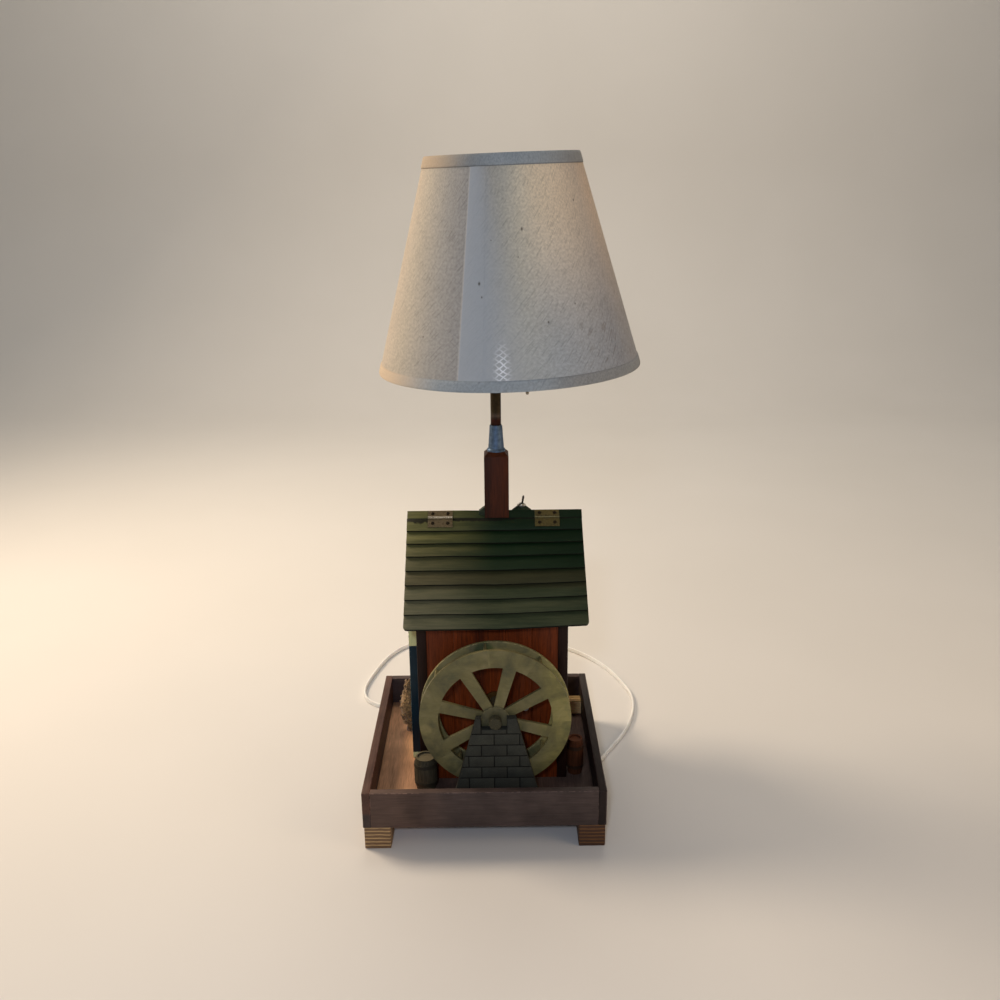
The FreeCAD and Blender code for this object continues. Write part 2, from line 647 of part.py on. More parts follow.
# ---------------------------------------------------------------- post and lamp
def make_post():
    post = post_box()
    post = post.makeChamfer(POST_CHAMFER, [e for e in post.Edges if e.BoundBox.ZMin > POST_TOP - 0.01])
    axis = V(LAMP_X, LAMP_Y, 0)
    pipe_end = POST_TOP - PIPE_SUNK
    bores = [rod(axis + V(0, 0, pipe_end), UP, PIPE_R, PIPE_SUNK + 1),
             rod(axis + V(0, 0, LEAD_HOLE_Z), UP, PIPE_BORE_R, pipe_end - LEAD_HOLE_Z + 1),
             rod(axis + V(0, 0, LEAD_HOLE_Z), V(0, 1, 0), PIPE_BORE_R, POST_W),
             Part.makeSphere(PIPE_BORE_R, axis + V(0, 0, LEAD_HOLE_Z))]
    save("post", post.cut(bores))

    neck = turned([(PIPE_R, 0), (NECK_FLANGE_R, 0), (NECK_FLANGE_R, NECK_FLANGE_T),
                   (NECK_R_BASE, NECK_FLANGE_T + 1.4), (NECK_R_TOP + 0.7, NECK_H * 0.55),
                   (NECK_R_TOP, NECK_H - 1.0), (NECK_R_TOP - 0.6, NECK_H), (PIPE_R, NECK_H)],
                  axis + V(0, 0, POST_TOP))
    save("neck_collar", neck)
    tube_len = PIPE_TOP - pipe_end
    pipe = rod(axis + V(0, 0, pipe_end), UP, PIPE_R, tube_len).cut(
        rod(axis + V(0, 0, pipe_end), UP, PIPE_BORE_R, tube_len))
    save("lamp_pipe", pipe)
    nut_z = SADDLE_Z - NUT_H
    save("pipe_nut", hexagon(NUT_AF, NUT_H, axis + V(0, 0, nut_z), UP, PIPE_R))

    half = SADDLE_SPAN / 2          # made along X, then turned to lie along Y
    strip = block(-half, half, -SADDLE_W / 2, SADDLE_W / 2, 0, SADDLE_T)
    ears = [block(x, x + SADDLE_T, -HARP_FOOT_R + 1, HARP_FOOT_R - 1, 0, SADDLE_EAR)
            for x in (-half, half - SADDLE_T)]
    taper = [prism_x([(-SADDLE_W, -1), (-SADDLE_W, CUT), (-HARP_FOOT_R, CUT), (-HARP_FOOT_R, -1)],
                     -half - 1, -CAP_R + 2)]
    taper += [s.mirror(V(0, 0, 0), V(1, 0, 0)) for s in taper]
    taper += [s.mirror(V(0, 0, 0), V(0, 1, 0)) for s in taper]
    saddle = strip.cut(taper).fuse(ears).cut(rod(V(0, 0, -1), UP, PIPE_R, 9)).removeSplitter()
    saddle.rotate(V(0, 0, 0), UP, 90)
    saddle.translate(axis + V(0, 0, SADDLE_Z))
    save("harp_saddle", saddle)


def make_socket():
    base = V(LAMP_X, LAMP_Y, CAP_Z)
    w = SOCKET_WALL
    cap = turned([(PIPE_R, 0), (8.4, 0), (8.4, 3.0), (12.5, 6.0), (CAP_R - 1.2, 10.5),
                  (CAP_R, 14.0), (CAP_R, CAP_H), (CAP_R - w, CAP_H), (CAP_R - w, 14.2),
                  (CAP_R - 2.0, 11.2), (12.0, 6.9), (8.0, 4.0), (PIPE_R, 4.0)], base)
    guide_z = CAP_Z + CAP_H - 4.0
    spout = rod(V(LAMP_X, LAMP_Y, guide_z), V(1, 0, 0), GUIDE_R, GUIDE_REACH)
    mouth_x = LAMP_X + GUIDE_REACH
    save("socket_cap", cap.cut(spout))

    shell_r = CAP_R - w - 0.1
    shell_z = CAP_Z + 14.6
    shell = turned([(shell_r - w, 0), (shell_r, 0), (shell_r, SHELL_H - 5), (shell_r + 0.9, SHELL_H - 3.5),
                    (shell_r, SHELL_H - 2), (shell_r - 0.6, SHELL_H), (shell_r - 0.6 - w, SHELL_H),
                    (shell_r - w, SHELL_H - 2.2)], V(LAMP_X, LAMP_Y, shell_z))
    save("socket_shell", shell.cut(spout))

    core_z = CAP_Z + 7.4
    switch_h = 13.0
    core_r, base_top = SCREW_SHELL_R + 0.7, switch_h + BASE_H
    core = turned([(0, 0), (10.5, 0), (14.6, 4.0), (14.6, switch_h + 3), (core_r, switch_h + 3),
                   (core_r, base_top), (SCREW_SHELL_R, base_top), (SCREW_SHELL_R, switch_h),
                   (0, switch_h)], V(LAMP_X, LAMP_Y, core_z))
    mouth = rod(V(mouth_x, LAMP_Y, guide_z + GUIDE_R - GUIDE_H), UP, GUIDE_R, GUIDE_H)
    flare = turned([(0, 0), (GUIDE_R + 1.0, 0), (GUIDE_R + 1.0, 1.2), (GUIDE_R, 3.0), (0, 3.0)],
                   V(mouth_x, LAMP_Y, guide_z + GUIDE_R - GUIDE_H))
    reach_in = rod(V(LAMP_X + 9, LAMP_Y, guide_z), V(1, 0, 0), GUIDE_R - GAP, GUIDE_REACH - 9)
    bore = rod(V(mouth_x, LAMP_Y, guide_z - GUIDE_H), UP, GUIDE_BORE_R, GUIDE_H)
    body = core.fuse([reach_in, mouth, flare]).cut(bore).removeSplitter()
    save("socket_body", body)

    # beaded pull chain, its top beads up inside the guide
    top = guide_z - BEAD_R - GAP
    chain = rod(V(mouth_x, LAMP_Y, top - (BEAD_COUNT - 1) * BEAD_PITCH), UP, 0.6,
                (BEAD_COUNT - 1) * BEAD_PITCH)
    beads = [Part.makeSphere(BEAD_R, V(mouth_x, LAMP_Y, top - k * BEAD_PITCH))
             for k in range(BEAD_COUNT)]
    end_z = top - (BEAD_COUNT - 1) * BEAD_PITCH
    end = Part.makeSphere(END_BEAD_R, V(mouth_x, LAMP_Y, end_z))
    save("pull_chain", chain.fuse(beads + [end]).removeSplitter())
    print(f"pull chain x {mouth_x:.2f} y {LAMP_Y:.2f} last bead z {end_z:.2f}")

    # bulb: screw base, then glass
    seat = core_z + switch_h + GAP
    base_r = BASE_R
    thread_count = 5
    pitch = (BASE_H - 7.0) / thread_count
    profile = [(0, 0), (4.5, 0), (6.0, 1.6), (base_r - 0.8, 4.0)]
    for k in range(thread_count):
        profile += [(base_r, 4.0 + (k + 0.5) * pitch), (base_r - 0.8, 4.0 + (k + 1) * pitch)]
    profile += [(base_r, BASE_H - 1.5), (base_r, BASE_H), (0, BASE_H)]
    save("bulb_base", turned(profile, V(LAMP_X, LAMP_Y, seat)))
    glass_z = seat + BASE_H
    neck_h = BULB_H - BULB_R - 6.0
    centre = V(0, 0, BULB_H - BULB_R)

    def bulb_form(shrink):
        r = BULB_R - shrink
        pts = [V(0, 0, shrink), V(base_r - shrink, 0, shrink)]
        edges = [Part.LineSegment(pts[0], pts[1]).toShape()]
        a = radians(-32)
        tangent = centre + V(r * cos(a), 0, r * sin(a))
        slope = V(-sin(a), 0, cos(a))
        curve = Part.BezierCurve()
        curve.setPoles([pts[1], pts[1] + V(0, 0, neck_h * 0.45), tangent - slope * 16.0, tangent])
        edges.append(curve.toShape())
        top_pt = centre + V(0, 0, r)
        mid = centre + V(r * cos(radians(29)), 0, r * sin(radians(29)))
        edges.append(Part.Arc(tangent, mid, top_pt).toShape())
        edges.append(Part.LineSegment(top_pt, pts[0]).toShape())
        return Part.Face(Part.Wire(edges)).revolve(V(0, 0, 0), UP, 360)

    glass = bulb_form(0).cut(bulb_form(BULB_WALL))
    glass.translate(V(LAMP_X, LAMP_Y, glass_z))
    save("bulb_glass", glass)


# ---------------------------------------------------------------- harp and shade
def crown_point():
    """Seat of the spider's washer on the harp's crown."""
    return V(LAMP_X + HARP_LEAN_X, LAMP_Y + HARP_LEAN_Y, SADDLE_Z + HARP_H)


def shade_axis():
    axis = V(tan(radians(SHADE_TIP_X)), tan(radians(SHADE_TIP_Y)), 1)
    axis.normalize()
    return axis


def make_harp():
    foot = V(LAMP_X, LAMP_Y, SADDLE_Z)
    crown = crown_point()
    rise = crown - foot
    height = rise.Length
    rise.normalize()
    across = rise.cross(V(1, 0, 0))
    across.normalize()
    half = SADDLE_SPAN / 2 - SADDLE_T / 2

    def at(u, h):
        return foot + across * u + rise * h

    start_h = SADDLE_EAR * 0.5
    side = [(half, start_h), (half, start_h + HARP_STRAIGHT), (HARP_HALF_W, start_h + HARP_SPREAD_AT),
            (HARP_HALF_W, start_h + HARP_CLOSE_AT), (HARP_HALF_W * 0.62, height - HARP_SHOULDER),
            (HARP_HALF_W * 0.2, height - CROWN_T / 2)]
    arms = []
    for sign in (-1, 1):
        points = [at(sign * u, h) for u, h in side]
        arm, _, _ = tube([(p.x, p.y, p.z) for p in points], HARP_WIRE_R)
        arms.append(arm)
        arms.append(rod(at(sign * half, start_h), rise, HARP_FOOT_R, HARP_FOOT_H))
    axis = shade_axis()
    boss = rod(crown - axis * CROWN_T, axis, CROWN_R, CROWN_T)
    bridge_half = HARP_HALF_W * 0.2
    bridge = rod(at(-bridge_half, height - CROWN_T / 2), across, HARP_WIRE_R, 2 * bridge_half)
    stud = rod(crown - axis * CROWN_T, axis, STUD_R, CROWN_T + STUD_L)
    harp = boss.fuse(arms + [bridge, stud])
    pockets = []
    for sign in (-1, 1):
        y = LAMP_Y + sign * (SADDLE_SPAN / 2 - SADDLE_T / 2)
        pockets.append(block(LAMP_X - HARP_FOOT_R + 1, LAMP_X + HARP_FOOT_R - 1, y - SADDLE_T / 2,
                             y + SADDLE_T / 2, SADDLE_Z, SADDLE_Z + SADDLE_EAR))
    harp = harp.cut(pockets).removeSplitter()
    save("harp", max(harp.Solids, key=lambda s: s.Volume))

    start = crown + axis * (WASHER_T + 2 * GAP)
    finial = turned([(STUD_R, 0), (FINIAL_R, 0), (FINIAL_R, 1.4), (3.9, 2.6), (3.9, 3.6),
                     (FINIAL_R, 5.8), (FINIAL_R + 0.6, 7.6), (FINIAL_R - 0.5, 10.2),
                     (2.4, FINIAL_H - 0.6), (0, FINIAL_H), (0, STUD_L), (STUD_R, STUD_L)],
                    start, axis)
    save("finial", finial)


def make_shade():
    axis = shade_axis()
    bottom = crown_point() + axis * (GAP + SPIDER_DROP - SHADE_H)
    slope = (SHADE_R_BOTTOM - SHADE_R_TOP) / SHADE_H

    def radius(h):
        return SHADE_R_BOTTOM - slope * h

    def band(h0, h1, inner, outer):
        return turned([(radius(h0) + inner, h0), (radius(h0) + outer, h0),
                       (radius(h1) + outer, h1), (radius(h1) + inner, h1)], bottom, axis)

    save("shade_cone", band(0, SHADE_H, -SHADE_T, 0))
    save("shade_trims", band(0, TRIM_BOTTOM_H, TRIM_GLUE, TRIM_T),
         band(SHADE_H - TRIM_TOP_H, SHADE_H, TRIM_GLUE, TRIM_T))

    w = FRAME_WIRE_R
    rings = []
    for h in (w + 0.6, SHADE_H - w - 0.6):
        ring_r = radius(h) - SHADE_T - w - 0.25
        ring = Part.makeTorus(ring_r, w)
        place(ring, bottom + axis * h, axis)
        rings.append(ring)
    top_h = SHADE_H - w - 0.6
    top_r = radius(top_h) - SHADE_T - w - 0.25
    washer_h = SHADE_H - SPIDER_DROP
    spider = Part.makeTorus(top_r, w, V(0, 0, top_h))
    washer = Part.makeCylinder(WASHER_R, WASHER_T, V(0, 0, washer_h))
    arms = []
    for k in range(ARM_COUNT):
        a = 2 * pi * k / ARM_COUNT + pi / 6
        out = V(cos(a), sin(a), 0)
        points = [out * (CROWN_R + GAP) + V(0, 0, washer_h + WASHER_T / 2),
                  out * (top_r * 0.72) + V(0, 0, washer_h + WASHER_T / 2),
                  out * top_r + V(0, 0, top_h)]
        arm, _, _ = tube([(p.x, p.y, p.z) for p in points], w * 0.8)
        arms.append(arm)
    spider = spider.fuse([washer] + arms)
    spider = spider.cut(Part.makeCylinder(STUD_R + SPIDER_PLAY, 20, V(0, 0, washer_h - 8))).removeSplitter()
    place(spider, bottom, axis)
    save("shade_frame", rings[0], spider)
    print("shade axis", [round(v, 5) for v in axis], "crown", [round(v, 3) for v in crown_point()])


# ---------------------------------------------------------------- wheel
def wheel_disc(y, spoked):
    """Rim, with or without its spokes, from y backwards."""
    back = V(0, 1, 0)
    centre = V(WHEEL_X, y, WHEEL_Z)
    inner = WHEEL_R - RIM_W
    disc = rod(centre, back, WHEEL_R, WHEEL_T).cut(rod(centre, back, inner, WHEEL_T))
    if not spoked:
        return disc
    spokes = [rod(centre, back, HUB_R - 2.5, WHEEL_T)]
    reach = inner + RIM_W / 3
    for k in range(SPOKE_COUNT):
        spoke = prism_y([(0, -SPOKE_W_HUB / 2), (reach, -SPOKE_W_RIM / 2), (reach, SPOKE_W_RIM / 2),
                         (0, SPOKE_W_HUB / 2)], 0, WHEEL_T)
        spoke.rotate(V(0, 0, 0), V(0, -1, 0), SPOKE_FIRST + 360 / SPOKE_COUNT * k)
        spoke.translate(centre)
        spokes.append(spoke)
    return disc.fuse(spokes).cut(rod(centre, back, AXLE_R, WHEEL_T)).removeSplitter()


def make_wheel():
    back = V(0, 1, 0)
    save("wheel_front", wheel_disc(WHEEL_FRONT, True))
    rear_y = WHEEL_FRONT + WHEEL_DEPTH - WHEEL_T
    save("wheel_rear_rim", wheel_disc(rear_y, False))
    paddles = []
    r0, r1 = WHEEL_R - RIM_W + PADDLE_IN, WHEEL_R - PADDLE_IN
    for k in range(SPOKE_COUNT):
        paddle = block(r0, r1, WHEEL_FRONT + WHEEL_T, rear_y, -PADDLE_T / 2, PADDLE_T / 2)
        paddle.rotate(V(0, 0, 0), V(0, -1, 0), SPOKE_FIRST + 360 / SPOKE_COUNT * (k + 0.5))
        paddle.translate(V(WHEEL_X, 0, WHEEL_Z))
        paddles.append(paddle)
    save("wheel_paddles", *paddles)
    front = V(WHEEL_X, WHEEL_FRONT - HUB_T, WHEEL_Z)
    save("wheel_hub_disc", rod(front, back, HUB_R, HUB_T).cut(rod(front, back, AXLE_R, HUB_T)))
    start = V(WHEEL_X, PIER_FRONT - 0.4, WHEEL_Z)
    save("wheel_axle", rod(start, back, AXLE_R, AXLE_REAR - start.y))

    coupler_y = MOTOR_FACE - BOSS_H - GAP - COUPLER_L
    centre = V(WHEEL_X, coupler_y, WHEEL_Z)
    coupler = rod(centre, back, COUPLER_R, COUPLER_L).cut(
        [rod(centre, back, AXLE_R, AXLE_REAR - coupler_y),
         rod(centre, back, SHAFT_R, COUPLER_L)])
    save("wheel_drive", coupler, rod(V(WHEEL_X, AXLE_REAR, WHEEL_Z), back, SHAFT_R,
                            MOTOR_FACE + PLATE_T - GAP - AXLE_REAR))

    face = HOUSE_FRONT + WALL_BACK
    bush_r = AXLE_R + RUN
    bush = turned([(bush_r, -BUSH_FLANGE_T), (BUSH_FLANGE_R, -BUSH_FLANGE_T), (BUSH_FLANGE_R, 0),
                   (bush_r + BUSH_WALL, 0), (bush_r + BUSH_WALL, WALL_T), (bush_r, WALL_T)],
                  V(WHEEL_X, face, WHEEL_Z), back)
    save("wall_bush", bush)


def make_motor():
    back = V(0, 1, 0)
    can_z = WHEEL_Z - MOTOR_DROP
    plate = rod(V(WHEEL_X, MOTOR_FACE, can_z), back, MOTOR_R + 1.5, PLATE_T)
    ears = [rod(V(WHEEL_X + s * EAR_SPAN / 2, MOTOR_FACE, can_z), back, EAR_R, PLATE_T)
            for s in (-1, 1)]
    strap = block(WHEEL_X - EAR_SPAN / 2, WHEEL_X + EAR_SPAN / 2, MOTOR_FACE, MOTOR_FACE + PLATE_T,
                  can_z - EAR_R, can_z + EAR_R)
    boss = rod(V(WHEEL_X, MOTOR_FACE - BOSS_H, WHEEL_Z), back, BOSS_R, BOSS_H + PLATE_T)
    holes = [rod(V(WHEEL_X + s * EAR_SPAN / 2, MOTOR_FACE, can_z), back, MOUNT_SCREW_R, PLATE_T)
             for s in (-1, 1)]
    holes.append(rod(V(WHEEL_X, MOTOR_FACE - BOSS_H, WHEEL_Z), back, SHAFT_R + RUN, BOSS_H + PLATE_T))
    plate = plate.fuse(ears + [strap, boss]).cut(holes).removeSplitter()
    can = turned([(0, 0), (MOTOR_R, 0), (MOTOR_R, MOTOR_L - 2), (MOTOR_R - 2, MOTOR_L), (0, MOTOR_L)],
                 V(WHEEL_X, MOTOR_FACE + PLATE_T, can_z), back)
    save("gear_motor", plate, can)
    mounts = []
    for s in (-1, 1):
        at = V(WHEEL_X + s * EAR_SPAN / 2, WALL_IN, can_z)
        mounts.append(rod(at, back, STANDOFF_R, STANDOFF_L).cut(rod(at, back, MOUNT_SCREW_R, STANDOFF_L)))
    for s in (-1, 1):
        face = HOUSE_FRONT + WALL_BACK
        head = V(WHEEL_X + s * EAR_SPAN / 2, face, can_z)
        length = WALL_T + STANDOFF_L + PLATE_T
        screw = turned([(0, 0), (2 * MOUNT_SCREW_R, 0), (2 * MOUNT_SCREW_R, MOUNT_SCREW_R),
                        (MOUNT_SCREW_R, MOUNT_SCREW_R), (MOUNT_SCREW_R, length + 3.5),
                        (0, length + 3.5)], head, back)
        nut = hexagon(6.5, 2.4, V(head.x, face + length, can_z), back, MOUNT_SCREW_R)
        mounts += [screw, nut]
    save("motor_fixings", *mounts)


# ---------------------------------------------------------------- pier and goods
def make_pier():
    """Battered brick pier with a slot in its top course, in which the axle's end lies."""
    top = WHEEL_Z + PIER_OVER
    spread = (PIER_BASE_W - PIER_TOP_W) / 2 / (top - FLOOR_Z)
    pier = prism_y([(PIER_X - PIER_BASE_W / 2, FLOOR_Z), (PIER_X + PIER_BASE_W / 2, FLOOR_Z),
                    (PIER_X + PIER_TOP_W / 2, top), (PIER_X - PIER_TOP_W / 2, top)],
                   PIER_FRONT, PIER_REAR)
    half = BRICK_L / 2
    cuts = [block(NOTCH_X - half, NOTCH_X + half, PIER_FRONT, PIER_REAR,
                  WHEEL_Z - AXLE_R - RUN, top)]
    depth = PIER_FRONT + MORTAR_D
    z1, z0, middle_brick = top, top - TOP_COURSE_H, True
    while z1 > FLOOR_Z:
        z0 = max(z0, FLOOR_Z)
        if z0 > FLOOR_Z:
            cuts.append(block(PIER_X - PIER_BASE_W, PIER_X + PIER_BASE_W, PIER_FRONT - 1, depth,
                              z0 - MORTAR_W / 2, z0 + MORTAR_W / 2))
        edge = PIER_TOP_W / 2 + spread * (top - z0) - 2.5
        first = half if middle_brick else 0.0
        places = {side * (first + k * BRICK_L) for side in (-1, 1) for k in range(3)}
        for x in sorted(NOTCH_X + dx for dx in places):
            if abs(x - PIER_X) < edge:
                cuts.append(block(x - MORTAR_W / 2, x + MORTAR_W / 2, PIER_FRONT - 1, depth, z0, z1))
        z1, z0, middle_brick = z0, z0 - COURSE_H, not middle_brick
    save("stone_pier", pier.cut(cuts))


def barrel(x, y, belly, height):
    """Staved barrel with proud hoops and a sunk head."""
    end = belly * BARREL_BILGE
    hoop_low, hoop_high = height * 0.2, height * 0.3
    swell = (belly - end) / (height / 2) ** 2

    def r(h):
        return belly - swell * (h - height / 2) ** 2

    side = [(r(h), h) for h in (0, hoop_low)]
    side += [(r(hoop_low) + HOOP_T, hoop_low), (r(hoop_high) + HOOP_T, hoop_high)]
    side += [(r(h), h) for h in (hoop_high, height * 0.5, height - hoop_high)]
    side += [(r(hoop_high) + HOOP_T, height - hoop_high), (r(hoop_low) + HOOP_T, height - hoop_low)]
    side += [(r(hoop_low), height - hoop_low), (end, height), (end - 1.6, height),
             (end - 1.6, height - 1.8), (0, height - 1.8)]
    return turned([(0, 0)] + side, V(x, y, FLOOR_Z))


def make_goods():
    save("barrel_left", barrel(BARREL_L_X, BARREL_L_Y, BARREL_L_R, BARREL_L_H))
    save("barrel_right", barrel(BARREL_R_X, BARREL_R_Y, BARREL_R_R, BARREL_R_H))

    trunk = rod(V(TREE_X, TREE_Y, FLOOR_Z), UP, TRUNK_R, TRUNK_H)
    crown = TREE_H - TRUNK_H
    widths = [(0, 0), (0.62, 0), (0.95, 0.22), (1.0, 0.4), (0.9, 0.62), (0.66, 0.82), (0.34, 0.95)]
    foliage = turned([(TREE_R * w, crown * h) for w, h in widths] + [(0, crown)],
                     V(TREE_X, TREE_Y, FLOOR_Z + TRUNK_H))
    save("moss_tree", trunk.fuse(foliage).removeSplitter())
    save("crate", block(CRATE_X - CRATE_W / 2, CRATE_X + CRATE_W / 2, CRATE_Y - CRATE_D / 2,
                        CRATE_Y + CRATE_D / 2, FLOOR_Z, FLOOR_Z + CRATE_H))


def make_door():
    x1 = HOUSE_X0 + WALL_BACK
    x0 = x1 - DOOR_T
    y0, y1 = DOOR_FRONT, DOOR_FRONT + DOOR_W
    z0 = FLOOR_Z + SILL_H
    panel = block(x0, x1, y0, y1, z0, z0 + DOOR_H)
    cuts = [face_of([V(x0, y0 + DOOR_W * k / 4 - GROOVE, z0), V(x0, y0 + DOOR_W * k / 4 + GROOVE, z0),
                     V(x0 + GROOVE, y0 + DOOR_W * k / 4, z0)]).extrude(V(0, 0, DOOR_H))
            for k in (1, 2, 3)]
    save("door_panel", panel.cut(cuts))
    save("door_frame", block(x0, x1, y0, y1, FLOOR_Z, z0),
         block(x0, x1, y0, y1, z0 + DOOR_H, z0 + DOOR_H + LINTEL_H))


# ---------------------------------------------------------------- toggle switch
def make_toggle():
    """Toggle switch upright in a mound on the rear slope, and filler beside the post."""
    low = PAD_TOP_Z - 30
    hollow_r = PAD_R - 2.4
    base = V(TOGGLE_X, TOGGLE_Y, low)
    mound = turned([(0, 0), (PAD_R, 0), (PAD_R, PAD_SHOULDER_Z - low), (PAD_TOP_R, PAD_TOP_Z - low),
                    (0, PAD_TOP_Z - low)], base)
    under_slope = [roof_at(0, 0, 1), roof_at(HOUSE_REAR, 0, 1), (HOUSE_REAR, RIDGE_Z - CUT),
                   (0, RIDGE_Z - CUT)]
    slope = prism_x(under_slope, TOGGLE_X - 30, TOGGLE_X + 30)
    hollow = rod(base, UP, hollow_r, BODY_TOP - low)
    bore = rod(base, UP, TOGGLE_BUSH_R, 40)
    mound = mound.cut([slope, hollow, bore])
    side = LAMP_X - POST_W / 2
    wedge = prism_y([(side - FILLER_W, RIDGE_Z - 8), (side, RIDGE_Z - 8), (side, RIDGE_Z + FILLER_H),
                     (side - FILLER_W, RIDGE_Z)], CAP_FRONT + 2, CAP_REAR)
    cap = prism_x([roof_at(CAP_FRONT - 9, 0, -1), (RIDGE_Y, RIDGE_Z), roof_at(CAP_REAR + 9, 0, 1),
                   (RIDGE_Y, RIDGE_Z - CUT)], side - 30, side + 1)
    save("ridge_filler", mound, wedge.cut(cap))

    body = block(TOGGLE_X - TOGGLE_BODY_X / 2, TOGGLE_X + TOGGLE_BODY_X / 2,
                 TOGGLE_Y - TOGGLE_BODY_Y / 2, TOGGLE_Y + TOGGLE_BODY_Y / 2,
                 BODY_TOP - TOGGLE_BODY_H, BODY_TOP)
    top = BODY_TOP + TOGGLE_BUSH_H
    pivot = V(TOGGLE_X, TOGGLE_Y, top - 3.4)
    flare = turned([(0, 0), (LEVER_R + GAP, 0), (TOGGLE_BUSH_R - 0.5, 4.0), (0, 4.0)], pivot)
    body = body.fuse(rod(V(TOGGLE_X, TOGGLE_Y, BODY_TOP), UP, TOGGLE_BUSH_R, TOGGLE_BUSH_H))
    pin_half = TOGGLE_BUSH_R - RUN
    pin = rod(pivot - V(0, pin_half, 0), V(0, 1, 0), LEVER_PIN_R, 2 * pin_half)
    pin_hole = rod(pivot - V(0, pin_half, 0), V(0, 1, 0), LEVER_PIN_R + RUN, 2 * pin_half)
    body = body.cut([flare, Part.makeSphere(LEVER_R + 0.6 + GAP, pivot), pin]).removeSplitter()
    nut = hexagon(TOGGLE_NUT_AF, TOGGLE_NUT_H, V(TOGGLE_X, TOGGLE_Y, PAD_TOP_Z), UP, TOGGLE_BUSH_R)
    save("toggle_switch", body, nut, pin)
    lever = turned([(0, 0), (LEVER_R * 0.8, 0), (LEVER_R * 0.75, LEVER_L * 0.4),
                    (LEVER_R * 0.9, LEVER_L - 1.5), (LEVER_R * 0.55, LEVER_L), (0, LEVER_L)], pivot)
    lever = lever.fuse(Part.makeSphere(LEVER_R + 0.6, pivot))
    lever = lever.cut(pin_hole).removeSplitter()
    lever.rotate(pivot, V(0, 1, 0), LEVER_TIP)
    save("toggle_lever", lever)
    print("toggle pivot", [round(v, 3) for v in pivot])


# ---------------------------------------------------------------- wiring
CORD_ROUTE = [
    (68, -5, 15.5), (83.5, -5, 15.5), (98, -2.4, 9.1), (110, 8, 2.9), (121, 28, 2.9), (137, 54, 2.9),
    (151, 80, 2.9), (160, 107, 2.9), (166, 134, 2.9), (167, 163, 2.9), (159, 195, 2.9),
    (148, 227, 2.9), (133, 255, 2.9), (113, 281, 2.9), (86, 305, 2.9), (52, 325, 2.9), (12, 338, 2.9),
    (-32, 343, 2.9), (-76, 339, 2.9), (-112, 325, 2.9), (-140, 304, 2.9), (-155, 276, 2.9),
    (-165, 244, 2.9), (-173, 210, 2.9), (-177, 178, 2.9), (-168, 152, 2.9), (-144, 137, 2.9),
    (-112, 132, 2.9), (-81, 136, 2.9), (-52, 143, 2.9), (-22, 146, 2.9)]


def make_cord():
    floor_low = FOOT_H
    axis_z = floor_low - RELIEF_DROP
    centre = V(RELIEF_X, RELIEF_Y, axis_z)
    stem = rod(centre, UP, RELIEF_PLUG_R, FLOOR_Z + 2.0 - axis_z)
    flange = rod(V(RELIEF_X, RELIEF_Y, floor_low - RELIEF_FLANGE_T), UP, RELIEF_FLANGE_R, RELIEF_FLANGE_T)
    ball = Part.makeSphere(RELIEF_R0, centre)
    sleeve = Part.makeCone(RELIEF_R0, RELIEF_R1, RELIEF_L, centre, V(1, 0, 0))
    save("strain_relief", stem.fuse([flange, ball, sleeve]).removeSplitter())

    cord, length, radii = tube(CORD_ROUTE, CORD_R)
    save("cord_tube", cord)
    section = pi * CORD_R ** 2
    print(f"cord length {length:.1f}  volume share {cord.Volume / (section * length):.4f}")
    print("cord radii", [round(r, 1) for r in radii])
    plug = make_plug()
    ring = Part.makeCylinder(COIL_R + COIL_HALF_W, COIL_H, V(COIL_X, COIL_Y, 0)).cut(
        Part.makeCylinder(COIL_R - COIL_HALF_W, COIL_H, V(COIL_X, COIL_Y, 0)))
    save("cord_coil", ring.cut([cord, plug]))


def make_plug():
    """Two-pin flat plug lying beside the coil, its neck ending in the coil."""
    neck_start = sqrt((COIL_R + COIL_HALF_W) ** 2 - COIL_R ** 2) - 2.0
    body_x, mid_z = neck_start + 9.0, PLUG_H / 2
    neck = rod(V(neck_start, 0, mid_z), V(1, 0, 0), PLUG_NECK_R, 9.0)
    outline = [V(body_x, -PLUG_W * 0.28, 0), V(body_x + PLUG_L * 0.45, -PLUG_W / 2, 0),
               V(body_x + PLUG_L, -PLUG_W / 2, 0), V(body_x + PLUG_L, PLUG_W / 2, 0),
               V(body_x + PLUG_L * 0.45, PLUG_W / 2, 0), V(body_x, PLUG_W * 0.28, 0)]
    body = face_of(outline).extrude(V(0, 0, PLUG_H)).fuse(neck)
    prongs = [block(body_x + PLUG_L, body_x + PLUG_L + PRONG_L, side * PRONG_APART / 2 - PRONG_T / 2,
                    side * PRONG_APART / 2 + PRONG_T / 2, mid_z - PRONG_W / 2, mid_z + PRONG_W / 2)
              for side in (-1, 1)]
    angle = radians(PLUG_TURN)
    leave = V(COIL_X + COIL_R * cos(angle), COIL_Y + COIL_R * sin(angle), 0)
    for part in [body] + prongs:
        part.rotate(V(0, 0, 0), UP, PLUG_TURN + 90)
        part.translate(leave)
    save("plug", body, *prongs)
    return body


